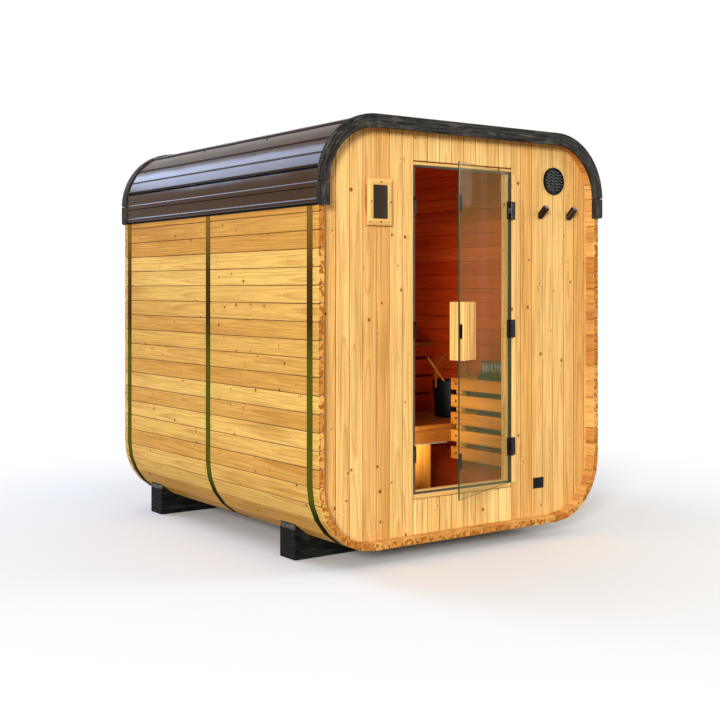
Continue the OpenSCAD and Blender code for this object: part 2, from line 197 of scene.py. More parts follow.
class SaunaColours(bpy.types.PropertyGroup):
    """Colours of the finishes."""
    front: colour("Front boards", "#E6B164", "Pale spruce of the end walls")
    stave: colour("Staves", "#DBA650", "Oiled spruce of the staves")
    end: colour("End grain", "#D08A3C", "Sawn ends of the staves")
    # painted shade: the spruce darkened and reddened as it looks inside the cabin
    lining: colour("Cabin lining", "#B43A0C", "Faces of the staves and boards inside the cabin")
    bench: colour("Benches", "#9A581A", "Seats and their front boards")
    guard: colour("Guard", "#BC7222", "Slats round the heater")
    # painted sunlight: a brighter orange than the other wood, as the legs look where sun falls through
    # the doorway
    leg: colour("Legs", "#FFA038", "Legs of the lower bench")
    trim: colour("Black stain", "#282623", "Stained trim")
    sheet: colour("Roof sheets", "#3C2408", "Coated steel sheets")
    # the straps' colours are painted reflections: brown above, and olive below, the grass's
    strap: colour("Strap", "#46300C", "Straps, above")
    olive: colour("Strap below", "#505410", "Straps, below")
    seal: colour("Seal", "#46423A", "Rubber seal")
    glass: colour("Glass", "#848A48", "Tint of the glass")
    glass_edge: colour("Glass edge", "#103A22", "Polished edge of the glass")
    panel: colour("Panel", "#2E2418", "Dark panel in its frame")
    stone: colour("Stones", "#8A8781", "Heater stones")


class SaunaStage(bpy.types.PropertyGroup):
    """Camera, lamps and floor. The camera's place is from the staves' front lower edge."""
    eye: FloatVectorProperty(name="Eye", default=(-4.2465, -4.8766, 1.3421), size=3,
                             unit="LENGTH", description="Camera from the shell's front underside")
    turn: FloatProperty(name="Turn", default=math.radians(35.68), subtype="ANGLE",
                        description="How far the camera is turned to the right")
    lens: FloatProperty(name="Lens", default=59.03, min=1, description="Focal length in millimetres")
    shift: FloatProperty(name="Shift", default=-0.0977, description="Camera's rise or fall shift")
    sky: FloatProperty(name="Sky", default=0.53, min=0, description="Strength of the even light")
    key: FloatProperty(name="Key", default=3050, min=0, description="Power of the key lamp in watts")
    fill: FloatProperty(name="Fill", default=240, min=0, description="Power of the fill lamp in watts")
    back: FloatProperty(name="Back", default=420, min=0, description="Power of the lamp behind")
    cabin: FloatProperty(name="Cabin", default=9, min=0, description="Power of the cabin's lamp")
    floor_size: length("Floor", 60, "Radius of the pale floor")


def sizes(group):
    """One of the scene's groups of settings."""
    return getattr(bpy.context.scene, "sauna_" + group)


# ------------------------------------------------------------ meshes

def grid_faces(rows, cols, wrap_rows):
    """Quads that join each point of a grid to the next in its row, which is closed, and column."""
    i, j = np.meshgrid(np.arange(rows if wrap_rows else rows - 1), np.arange(cols), indexing="ij")
    i2, j2 = (i + 1) % rows, (j + 1) % cols
    quads = [i * cols + j, i * cols + j2, i2 * cols + j2, i2 * cols + j]
    return np.stack(quads, -1).reshape(-1, 4)


def enclosed(points, faces):
    """Six times the signed volume under each shape's faces: a fan of triangles for each face."""
    first, total = points[:, faces[:, 0]], 0
    for k in range(1, faces.shape[1] - 1):
        fan = np.cross(points[:, faces[:, k]], points[:, faces[:, k + 1]])
        total = total + np.einsum("nfi,nfi->n", first, fan)
    return total


SPRUCE = ("oiled spruce boards", "sawn spruce ends")        # a board's faces and its ends


class Patch:
    """Like closed shapes: points (count, rows, cols, 3), each a row of closed rings with two caps.

    grain is each point in its board's own axes (along, across, deep) and tone a shade from 0 to 1
    for each shape. kinds gives each column of faces its finish, and cap is the ends'. With
    wrap_rows the last ring joins the first, and there are no caps. Shapes whose enclosed volume
    is negative have their faces turned over, so all faces point outwards."""

    def __init__(self, points, grain=None, tone=None, kinds=0, cap=0, wrap_rows=False):
        count, rows, cols, _ = points.shape
        solid = points.reshape(count, -1, 3)
        quads = grid_faces(rows, cols, wrap_rows)
        strips = rows if wrap_rows else rows - 1
        groups = [(quads, np.tile(np.broadcast_to(kinds, (cols,)), strips))]
        if not wrap_rows:
            ring = np.arange(cols)[None]
            last = ring + (rows - 1) * cols
            groups += [(ring[:, ::-1], np.array([cap])), (last, np.array([cap]))]
        centred = solid - solid.mean(1, keepdims=True)
        inside_out = sum(enclosed(centred, faces) for faces, _ in groups) < 0
        shift = (np.arange(count) * rows * cols)[:, None, None]
        self.faces = []
        for faces, kind in groups:
            turned = np.where(inside_out[:, None, None], faces[None, :, ::-1], faces[None]) + shift
            self.faces.append((turned.reshape(-1, faces.shape[1]), np.tile(kind, count)))
        self.points = solid.reshape(-1, 3)
        self.grain = np.zeros_like(self.points) if grain is None else grain.reshape(-1, 3)
        self.tone = np.repeat(np.full(count, 0.5) if tone is None else tone, rows * cols)

    def moved(self, change):
        """The same patch with its points changed by a function."""
        self.points = change(self.points)
        return self


def piece(name, patches, finishes, body="cabin", replaces=(), sharp=32):
    """One object of patches, with its finishes in order, riding on a body of the frame."""
    loops, starts, kinds, shift, at = [], [], [], 0, 0
    for patch in patches:
        for faces, kind in patch.faces:
            loops.append((faces + shift).ravel())
            starts.append(at + np.arange(len(faces)) * faces.shape[1])
            kinds.append(kind)
            at += faces.size
        shift += len(patch.points)
    loops, starts, kinds = (np.concatenate(x).astype(np.int32) for x in (loops, starts, kinds))
    points, grain, tone = (
        np.concatenate([getattr(p, part) for p in patches]).astype(np.float32)
        for part in ("points", "grain", "tone")
    )
    mesh = bpy.data.meshes.new(name)
    mesh.vertices.add(len(points))
    mesh.vertices.foreach_set("co", points.ravel())
    mesh.loops.add(len(loops))
    mesh.loops.foreach_set("vertex_index", loops)
    mesh.polygons.add(len(starts))
    mesh.polygons.foreach_set("loop_start", starts)
    mesh.polygons.foreach_set("material_index", kinds)
    mesh.attributes.new("grain", "FLOAT_VECTOR", "POINT").data.foreach_set("vector", grain.ravel())
    mesh.attributes.new("tone", "FLOAT", "POINT").data.foreach_set("value", tone)
    mesh.update(calc_edges=True)
    if mesh.validate():
        raise RuntimeError(f"{name} has faces that Blender can't keep")
    mesh.shade_smooth()
    mesh.set_sharp_from_angle(angle=math.radians(sharp))
    for finish in finishes:
        mesh.materials.append(material(finish))
    made = bpy.data.objects.new(name, mesh)
    bpy.context.scene.collection.objects.link(made)
    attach(made, body)
    if replaces:
        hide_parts(*replaces)
    return made


POLE = 0.0005       # how near its axis a turned shape's profile starts and ends; a cap closes it


def grown(rng, count):
    """Where each board was cut from its log: an offset along it, and the pith's place beside it."""
    low, high = (0, -0.05, 0.03), (40, 0.05, 0.09)
    return rng.uniform(low, high, (count, 3))


def rounded(outline, ease, steps=2):
    """A closed outline with its corners eased: from `ease` before each corner, along a quadratic
    curve that bends towards it, to `ease` past it."""
    outline = np.asarray(outline, float)
    back = np.roll(outline, 1, 0) - outline
    on = np.roll(outline, -1, 0) - outline
    back *= ease / np.linalg.norm(back, axis=1, keepdims=True)
    on *= ease / np.linalg.norm(on, axis=1, keepdims=True)
    t = np.linspace(0, 1, steps + 1)[None, :, None]
    curve = outline[:, None] + back[:, None] * (1 - t) ** 2 + on[:, None] * t ** 2
    return curve.reshape(-1, 2)


def rectangle(u0, u1, v0, v1, ease):
    """A rectangle's outline with its corners eased."""
    return rounded([[u0, v0], [u1, v0], [u1, v1], [u0, v1]], ease)


def boards(boxes, order, rng, ease=0.002, kind=0, cap=1, tone=None):
    """Straight boards, each filling a box of (x0, x1, y0, y1, z0, z1).

    An eased rectangle is carried along the first axis named in order; the second is across it and
    the third is its depth. The end rings are drawn in by the ease, so the ends are eased too."""
    boxes = np.asarray(boxes, float).reshape(-1, 3, 2)
    middle, size = boxes.mean(2), boxes[:, :, 1] - boxes[:, :, 0]
    ease = np.minimum(ease, size.min(1) / 3)[:, None]
    axes = ["xyz".index(letter) for letter in order]
    long, wide, deep = (size[:, k, None] / 2 for k in axes)
    start = np.repeat(np.arange(4), 3) * math.pi / 2
    turn = start + np.tile([0, math.pi / 4, math.pi / 2], 4)
    sign_u = np.sign(np.cos(start + math.pi / 4))
    sign_v = np.sign(np.sin(start + math.pi / 4))
    u = sign_u * (wide - ease) + ease * np.cos(turn)
    v = sign_v * (deep - ease) + ease * np.sin(turn)
    local = np.zeros((len(boxes), 4, len(turn), 3))
    for ring, (end, inset) in enumerate(((-1, 1), (-1, 0), (1, 0), (1, 1))):
        local[:, ring, :, 0] = end * (long - ease * (1 - inset))
        local[:, ring, :, 1] = u * (1 - inset * ease / wide)
        local[:, ring, :, 2] = v * (1 - inset * ease / deep)
    points = np.zeros_like(local)
    for k, axis in enumerate(axes):
        points[..., axis] = local[..., k] + middle[:, None, None, axis]
    grain = local + grown(rng, len(boxes))[:, None, None]
    tone = rng.uniform(0, 1, len(boxes)) if tone is None else np.full(len(boxes), tone)
    return Patch(points, grain, tone, kind, cap)


def split(low, high, count, gap):
    """Starts and ends of like strips between two places, with a gap between neighbours."""
    width = (high - low - gap * (count - 1)) / count
    start = low + np.arange(count) * (width + gap)
    return start, start + width


def joint_profile(depth, bead, cove, chord, gap, ease, steps=9):
    """The section of a board with a bead on one edge and a matching cove in the other.

    Each row is (side, past, deep): past is measured from joint 0 or 1, and deep from the outer
    face. Across the chord each edge is a parabola as high as its bead or cove, and elsewhere it is
    straight. All of it is set back by the gap, half the open joint, and the corners are eased less
    inside. Also gives each column's finish: 0 outside, 3 on the joint's outer half, 2 on its inner
    half and inside."""
    half = np.linspace(-chord / 2, chord / 2, steps)
    bulge = 1 - (2 * half / chord) ** 2
    bead = np.stack([np.ones(steps), bead * bulge - gap, half + depth / 2], 1)
    cove = np.stack([np.zeros(steps), cove * bulge + gap, half + depth / 2], 1)[::-1]
    outer = [[0, ease + gap, 0], [1, -ease - gap, 0], [1, -gap, ease]]
    fine = ease / 3
    inner = [[1, -gap, depth - fine], [1, -fine - gap, depth],
             [0, fine + gap, depth], [0, gap, depth - fine]]
    profile = np.concatenate([outer, bead, inner, cove, [[0, gap, ease]]])
    kinds = np.full(len(profile), 3)
    kinds[[0, 1, -1]] = 0
    middle = len(outer) + steps // 2
    kinds[middle:middle + steps + len(inner)] = 2
    return profile, kinds


def milled(start, end, into0, into1, axis, ends, depth, joint, rng, ease=0.0025, tone=None):
    """Boards with milled joints: each point of the profile lies between joint 0 at `start` and
    joint 1 at `end`, and goes `deep` along the mean of their inward vectors. The section runs along
    the axis from one end to the other; `ends` gives both for each point. End rings are drawn in."""
    profile, kinds = joint
    side, past, deep = profile.T
    width = np.linalg.norm(end - start, axis=1)[:, None]
    across = (side * width + past) / width
    rings, grains = [], []
    for high, inset in ((0, 1), (0, 0), (1, 0), (1, 1)):
        f = (0.5 + (across - 0.5) * (1 - 2 * inset * ease / width))[..., None]
        w = (depth / 2 + (deep - depth / 2) * (1 - 2 * inset * ease / depth))[None, :, None]
        flat = start[:, None] * (1 - f) + end[:, None] * f
        flat = flat + w * (into0[:, None] * (1 - f) + into1[:, None] * f)
        stop = ends(flat)[high] + (1 - inset) * ease * (1 - 2 * high)
        rings.append(flat + stop[..., None] * np.asarray(axis, float))
        grain = [stop, (f[..., 0] - 0.5) * width, np.broadcast_to(w[..., 0], stop.shape)]
        grains.append(np.stack(np.broadcast_arrays(*grain), -1))
    count = len(start)
    grain = np.stack(grains, 1) + grown(rng, count)[:, None, None]
    tone = rng.uniform(0, 1, count) if tone is None else tone
    return Patch(np.stack(rings, 1), grain, tone, kinds, 1)


def swept(section, path, out, side, rng, tone=None, kinds=0, cap=1, limit=None):
    """Sections (u, v) carried along paths: path + u * out + v * side, with u kept under `limit`.
    path, out and side are (count, rings, 3)."""
    u = np.broadcast_to(section[:, 0], path.shape[:2] + (len(section),))
    if limit is not None:
        u = np.minimum(u, limit[..., None])
    v = section[:, 1]
    points = path[:, :, None] + u[..., None] * out[:, :, None] + v[:, None] * side[:, :, None]
    steps = np.linalg.norm(np.diff(path, axis=1), axis=2)
    along = np.concatenate([np.zeros((len(path), 1)), np.cumsum(steps, 1)], 1)
    grain = np.stack(np.broadcast_arrays(along[:, :, None], u, v), -1)
    grain = grain + grown(rng, len(path))[:, None, None]
    tone = rng.uniform(0, 1, len(path)) if tone is None else np.full(len(path), tone)
    return Patch(points, grain, tone, kinds, cap)


def tubes(paths, radius, rng, sides=8, lie=(0, 0, 1), wrap=False):
    """Round bars: a circle set square to each path, its first arm square to `lie`."""
    paths = np.asarray(paths, float)
    if wrap:
        heading = np.roll(paths, -1, 1) - np.roll(paths, 1, 1)
    else:
        heading = np.gradient(paths, axis=1)
    heading /= np.linalg.norm(heading, axis=2, keepdims=True)
    out = np.cross(heading, lie)
    out /= np.linalg.norm(out, axis=2, keepdims=True)
    side = np.cross(heading, out)
    turn = np.linspace(0, 2 * math.pi, sides, endpoint=False)
    radius = np.broadcast_to(np.asarray(radius, float), paths.shape[:2])[..., None, None]
    ring = np.cos(turn)[:, None] * out[:, :, None] + np.sin(turn)[:, None] * side[:, :, None]
    points = paths[:, :, None] + radius * ring
    grain = np.stack(np.broadcast_arrays(
        paths[..., 2, None], np.cos(turn) * radius[..., 0], np.sin(turn) * radius[..., 0]), -1)
    grain = grain + grown(rng, len(paths))[:, None, None]
    return Patch(points, grain, rng.uniform(0, 1, len(paths)), 0, 0, wrap_rows=wrap)


def lathe(profile, base, axis, segments=32, bulge=None):
    """Turned shapes: each profile point (radius, height) goes round the axis through each base.
    bulge, one factor for each segment, swells the radius."""
    base = np.atleast_2d(np.asarray(base, float))
    axis = np.broadcast_to(np.asarray(axis, float), base.shape)
    axis = axis / np.linalg.norm(axis, axis=1, keepdims=True)
    helper = np.where(np.abs(axis[:, 2:]) > 0.9, [[1.0, 0, 0]], [[0, 0, 1.0]])
    u = np.cross(axis, helper)
    u /= np.linalg.norm(u, axis=1, keepdims=True)
    v = np.cross(axis, u)
    turn = np.linspace(0, 2 * math.pi, segments, endpoint=False)
    ring = np.cos(turn)[:, None] * u[:, None] + np.sin(turn)[:, None] * v[:, None]
    profile = np.asarray(profile, float)
    swell = np.ones(segments) if bulge is None else bulge
    points = (base[:, None, None] + profile[:, 0, None, None] * (swell[:, None] * ring)[:, None]
              + profile[:, 1, None, None] * axis[:, None, None])
    return Patch(points)


def screws(points, normal, radius):
    """Pan-head screws with a small recess, each of ten segments."""
    r = radius
    profile = [(r, -0.2 * r), (r, 0.15 * r), (0.8 * r, 0.35 * r), (0.36 * r, 0.42 * r),
               (0.28 * r, 0.1 * r), (0.02 * r, 0.08 * r)]
    return lathe(profile, points, normal, segments=10)


def arc(centre, radius, start, stop, steps):
    """Points of a circle's arc in X and Z, and the directions out of it."""
    turn = np.radians(np.linspace(start, stop, steps))
    out = np.stack([np.cos(turn), np.sin(turn)], 1)
    return np.asarray(centre) + radius * out, out


# ------------------------------------------------------------ finishes

def fed(made, inputs):
    """A node with its inputs set to values, or linked to sockets or to nodes' first live output."""
    for key, value in inputs.items():
        if isinstance(value, bpy.types.Node):
            value = next(socket for socket in value.outputs if socket.enabled)
        if isinstance(value, bpy.types.NodeSocket):
            made.id_data.links.new(value, made.inputs[key])
        else:
            made.inputs[key].default_value = value
    return made


def node(tree, kind, inputs=None, **settings):
    """Adds a node with its settings and its inputs."""
    made = tree.nodes.new("ShaderNode" + kind)
    for name, value in settings.items():
        setattr(made, name, value)
    return fed(made, inputs or {})


def started(name, **inputs):
    """A new material's node tree and its surface shader, with some sockets set: the socket's name
    has capitals, and spaces for underscores."""
    made = bpy.data.materials.new(name)
    made.use_nodes = True
    shader = made.node_tree.nodes["Principled BSDF"]
    fed(shader, {key.replace("_", " "): value for key, value in inputs.items()})
    return made.node_tree, shader


def shaded(colour, *scale):
    """A colour with each channel scaled, and its alpha. One scale serves all three channels."""
    return [min(1.0, c * s) for c, s in zip(colour, scale * (3 // len(scale)))] + [1.0]


def painted(shade):
    """A finish's linear colour: an sRGB hex value, or the user's colour of that name."""
    return linear(shade)[:3] if shade[0] == "#" else list(getattr(sizes("colours"), shade))


def material(name):
    """A finish by its name, made when it is first asked for."""
    if name not in bpy.data.materials:
        kind, shade, settings = FINISHES[name]
        kind(name, painted(shade), **settings)
    return bpy.data.materials[name]


def dress(nodes, finish):
    """CAD nodes that keep their shape get their finish."""
    for name in nodes:
        made = frame["nodes"][name]
        made.data.materials.clear()
        made.data.materials.append(material(finish))


def figure(tree, grain, ring, wander, knot):
    """The figure of a board: how far a point is from the pith, bent by slow noise and round knots,
    and counted in growth rings. Gives the late wood's share, and the distance outside a knot."""
    bend = node(tree, "TexNoise", {
        "Vector": node(tree, "Mapping", {"Vector": grain, "Scale": (1.7, 9, 9)}),
        "Scale": 1, "Detail": 2})
    along, across, deep = node(tree, "SeparateXYZ", {0: grain}).outputs
    square = node(tree, "CombineXYZ", {1: across, 2: deep})
    radius = node(tree, "VectorMath", {0: square}, operation="LENGTH")
    taper = node(tree, "Math", {0: along, 1: 0.008, 2: radius}, operation="MULTIPLY_ADD")
    bent = node(tree, "Math", {0: bend, 1: wander, 2: taper}, operation="MULTIPLY_ADD")
    outside = None
    if knot:
        # one cell in three holds a knot; its radius follows the cell's own random value
        cells = 7.0
        spots = node(tree, "TexVoronoi", {"Vector": grain, "Scale": cells},
                     voronoi_dimensions="2D")
        chance = node(tree, "SeparateColor", {0: spots.outputs["Color"]})
        size = node(tree, "MapRange", {0: chance, 1: 0.7, 2: 1.0, 3: 0.0012, 4: knot}, clamp=False)
        near = node(tree, "Math", {0: spots, 1: cells}, operation="DIVIDE")
        wobble = node(tree, "Math", {0: bend, 1: 0.004, 2: near}, operation="MULTIPLY_ADD")
        outside = node(tree, "Math", {0: wobble, 1: size}, operation="SUBTRACT")
        swell = node(tree, "MapRange", {0: outside, 1: 0, 2: 0.022, 3: 0.013, 4: 0},
                     interpolation_type="SMOOTHSTEP")
        bent = node(tree, "Math", {0: bent, 1: swell}, operation="ADD")
    count = node(tree, "Math", {0: bent, 1: ring}, operation="DIVIDE")
    late = node(tree, "ValToRGB", {0: node(tree, "Math", {0: count}, operation="FRACT")})
    for place, value in ((0.55, 0.25), (0.86, 1.0)):
        late.color_ramp.elements.new(place).color = (value, value, value, 1)
    late.color_ramp.elements[0].color = late.color_ramp.elements[-1].color = (0, 0, 0, 1)
    return late, outside


def wood(name, shade, rings=0.55, heart=0.45, ring=0.010, wander=0.035, knot=0.010,
         fibre=(2.5, 90, 90), streak=(0.9, 16, 16), patchy=(0.5, 0.68), rough=0.5,
         turn=(0.9, 0.83, 0.77), outdoors=None):
    """Planed softwood drawn in each board's own axes. Boards differ in shade, reddish heartwood
    runs in long streaks, late wood is a darker line at each ring, and knots are brown with a dark
    edge. Rings and fibres are about twice as coarse as real ones, so that they show. A second
    colour is for the ends of the same boards that reach out in front of and behind the cabin: a
    paler copy, painted as lit, while the first shade is then painted shade, the wood as it looks
    inside the cabin."""
    tree, shader = started(name, Specular_IOR_Level=0.08)
    grain = node(tree, "Attribute", attribute_name="grain").outputs["Vector"]
    tone = node(tree, "Attribute", attribute_name="tone").outputs["Fac"]
    late, outside = figure(tree, grain, ring, wander, knot)
    fine = node(tree, "TexNoise", {
        "Vector": node(tree, "Mapping", {"Vector": grain, "Scale": fibre}),
        "Scale": 1, "Detail": 3, "Roughness": 0.6})
    pale, tan = shaded(shade, *(1 / t for t in turn)), shaded(shade, *turn)
    base = node(tree, "Mix", {0: tone, 6: pale, 7: tan}, data_type="RGBA", clamp_factor=False)
    # with a second colour, faces out of the cabin get it as painted light, and faces inside keep the
    # first shade as painted shade
    if outdoors:
        y = node(tree, "SeparateXYZ", {0: node(tree, "TexCoord").outputs["Object"]}).outputs[1]
        middle, half = (WALL_Y1 + BACK_Y0) / 2, (BACK_Y0 - WALL_Y1) / 2
        away = node(tree, "Math", {0: y, 1: middle}, operation="SUBTRACT")
        out = node(tree, "Math", {0: away}, operation="ABSOLUTE")
        past = node(tree, "Math", {0: out, 1: half}, operation="GREATER_THAN")
        lit_colour = painted(outdoors)
        pale, tan = shaded(lit_colour, 1.1, 1.15, 1.2), shaded(lit_colour, 0.7, 0.52, 0.34)
        worn_and_lit = node(tree, "Mix", {0: tone, 6: pale, 7: tan}, data_type="RGBA")
        base = node(tree, "Mix", {0: past, 6: base, 7: worn_and_lit}, data_type="RGBA")
    streaks = node(tree, "TexNoise", {
        "Vector": node(tree, "Mapping", {"Vector": grain, "Scale": streak}),
        "Scale": 1, "Detail": 2})
    red = node(tree, "MapRange", {0: streaks, 1: patchy[0], 2: patchy[1], 3: 0, 4: heart},
               interpolation_type="SMOOTHSTEP")
    rust, brown = shaded(shade, 0.6, 0.46, 0.28), shaded(shade, 0.56, 0.38, 0.22)
    base = node(tree, "Mix", {0: red, 6: base, 7: rust}, data_type="RGBA")
    dark = node(tree, "Math", {0: late, 1: rings}, operation="MULTIPLY")
    base = node(tree, "Mix", {0: dark, 6: base, 7: brown}, data_type="RGBA")
    line = node(tree, "MapRange", {0: fine, 1: 0.3, 2: 0.7, 3: 0.8, 4: 1.17})
    base = node(tree, "VectorMath", {0: base, "Scale": line}, operation="SCALE")
    if knot:
        halo = node(tree, "MapRange", {0: outside, 1: 0, 2: 0.008, 3: 0.5, 4: 0},
                    interpolation_type="SMOOTHSTEP")
        warm = shaded(shade, 0.55, 0.3, 0.14)
        base = node(tree, "Mix", {0: halo, 6: base, 7: warm}, data_type="RGBA")
        deep = node(tree, "MapRange", {0: outside, 1: -0.006, 2: 0.002})
        core = node(tree, "ValToRGB", {0: deep})
        core.color_ramp.elements[0].color = shaded(shade, 0.34, 0.17, 0.07)
        core.color_ramp.elements[1].color = shaded(shade, 0.10, 0.05, 0.03)
        inside = node(tree, "MapRange", {0: outside, 1: 0.0016, 2: 0, 3: 0, 4: 0.88})
        base = node(tree, "Mix", {0: inside, 6: base, 7: core}, data_type="RGBA")
    gloss = node(tree, "MapRange", {0: fine, 3: rough - 0.08, 4: rough + 0.1})
    relief = node(tree, "Math", {0: late, 1: 0.4, 2: fine}, operation="MULTIPLY_ADD")
    bump = node(tree, "Bump", {"Height": relief, "Strength": 0.35, "Distance": 0.0008})
    fed(shader, {"Base Color": base, "Roughness": gloss, "Normal": bump})


def stained(name, shade):
    """Softwood under a thin black stain: the eye sees soft charcoal, with greyer lines where the
    grain is proud and a few pale scuffs."""
    tree, shader = started(name, Roughness=0.6, Specular_IOR_Level=0.06)
    grain = node(tree, "Attribute", attribute_name="grain").outputs["Vector"]
    fine = node(tree, "TexNoise", {
        "Vector": node(tree, "Mapping", {"Vector": grain, "Scale": (5, 130, 130)}),
        "Scale": 1, "Detail": 4, "Roughness": 0.65})
    ramp = node(tree, "ValToRGB", {0: fine})
    for element, place, value in zip(ramp.color_ramp.elements, (0.38, 0.66), (0.25, 2.4)):
        element.position = place
        element.color = shaded(shade, value)
    scuffs = node(tree, "TexNoise", {
        "Vector": node(tree, "Mapping", {"Vector": grain, "Scale": (9, 45, 45)}),
        "Scale": 1, "Detail": 5, "Roughness": 0.7})
    worn_and_lit = node(tree, "MapRange", {0: scuffs, 1: 0.53, 2: 0.63, 3: 0, 4: 0.85})
    base = node(tree, "Mix", {0: worn_and_lit, 6: ramp, 7: shaded(shade, 4, 3.9, 3.6)}, data_type="RGBA")
    bump = node(tree, "Bump", {"Height": fine, "Strength": 0.5, "Distance": 0.001})
    fed(shader, {"Base Color": base, "Normal": bump})


def coated(name, shade, rough=0.3, speck=900, relief=0.15, **more):
    """A smooth skin such as paint, powder, plastic or rubber: an even colour with a slow drift in
    shade and gloss, and the fine orange-peel or pimple of how it was laid on."""
    tree, shader = started(name, **more)
    place = node(tree, "TexCoord").outputs["Object"]
    slow = node(tree, "TexNoise", {"Vector": place, "Scale": 5, "Detail": 3})
    base = node(tree, "Mix", {0: slow, 6: shaded(shade, 0.8), 7: shaded(shade, 1.2)},
                data_type="RGBA")
    gloss = node(tree, "MapRange", {0: slow, 3: rough - 0.07, 4: rough + 0.07})
    fine = node(tree, "TexNoise", {"Vector": place, "Scale": speck, "Detail": 1})
    bump = node(tree, "Bump", {"Height": fine, "Strength": relief, "Distance": 0.0003})
    fed(shader, {"Base Color": base, "Roughness": gloss, "Normal": bump})


def band(name, upper, below):
    """Steel strap whose colours are painted reflections, set by height: dark brown above and olive
    below, the grass's reflection, changing over a hand's height. At the foot it is nearly black,
    painted shade under the shell, and near the eaves it turns pale, a painted highlight. It has
    fine upright rub marks."""
    tree, shader = started(name, Roughness=0.6, Specular_IOR_Level=0.02)
    lower, top = painted(below), ROOF[0, 2]
    place = node(tree, "TexCoord").outputs["Object"]
    up = node(tree, "SeparateXYZ", {0: place}).outputs[2]
    rub = node(tree, "TexNoise", {
        "Vector": node(tree, "Mapping", {"Vector": place, "Scale": (300, 300, 6)}),
        "Scale": 1, "Detail": 3})
    drift = node(tree, "Math", {0: rub, 1: 0.12, 2: up}, operation="MULTIPLY_ADD")
    ramp = node(tree, "ValToRGB", {0: node(tree, "MapRange", {0: drift, 1: Z0, 2: top})})
    middle = (sizes("shell").strap_olive - Z0) / (top - Z0)
    # from the foot up: painted shade under the shell, olive and brown painted reflections, and a pale
    # painted highlight near the eaves
    for place, value in ((0.13, shaded(lower, 0.1)), (0.20, shaded(lower, 0.9)),
                         (middle, shaded(lower, 0.9)), (middle + 0.12, shaded(upper, 0.6)),
                         (0.85, shaded(upper, 1))):
        ramp.color_ramp.elements.new(place).color = value
    ramp.color_ramp.elements[0].color = shaded(lower, 0.03)
    ramp.color_ramp.elements[-1].color = shaded(upper, 3.2, 3.4, 3.6)
    fed(shader, {"Base Color": ramp})


def rock(name, shade):
    """Split heater stone: grey with pale and rusty grains, rough and matt."""
    tree, shader = started(name, Roughness=0.85)
    place = node(tree, "TexCoord").outputs["Object"]
    coarse = node(tree, "TexNoise", {"Vector": place, "Scale": 55, "Detail": 6, "Roughness": 0.7})
    tone = node(tree, "Attribute", attribute_name="tone").outputs["Fac"]
    mixed = node(tree, "Math", {0: coarse, 1: tone}, operation="ADD")
    ramp = node(tree, "ValToRGB", {0: node(tree, "MapRange", {0: mixed, 2: 2.0})})
    for element, value in zip(ramp.color_ramp.elements, (0.3, 1.7)):
        element.color = shaded(shade, value, value * 0.98, value * 0.93)
    bump = node(tree, "Bump", {"Height": coarse, "Strength": 0.8, "Distance": 0.004})
    fed(shader, {"Base Color": ramp, "Normal": bump})


def pane(name, shade, clear):
    """Toughened glass: nearly clear over its face, with a faint bloom that dulls it in patches."""
    tree, shader = started(name, Alpha=clear, IOR=1.5, Specular_IOR_Level=0.2,
                           Base_Color=[*shade, 1])
    place = node(tree, "TexCoord").outputs["Object"]
    bloom = node(tree, "TexNoise", {"Vector": place, "Scale": 7, "Detail": 4})
    gloss = node(tree, "MapRange", {0: bloom, 1: 0.4, 2: 0.7, 3: 0.015, 4: 0.06})
    fed(shader, {"Roughness": gloss})


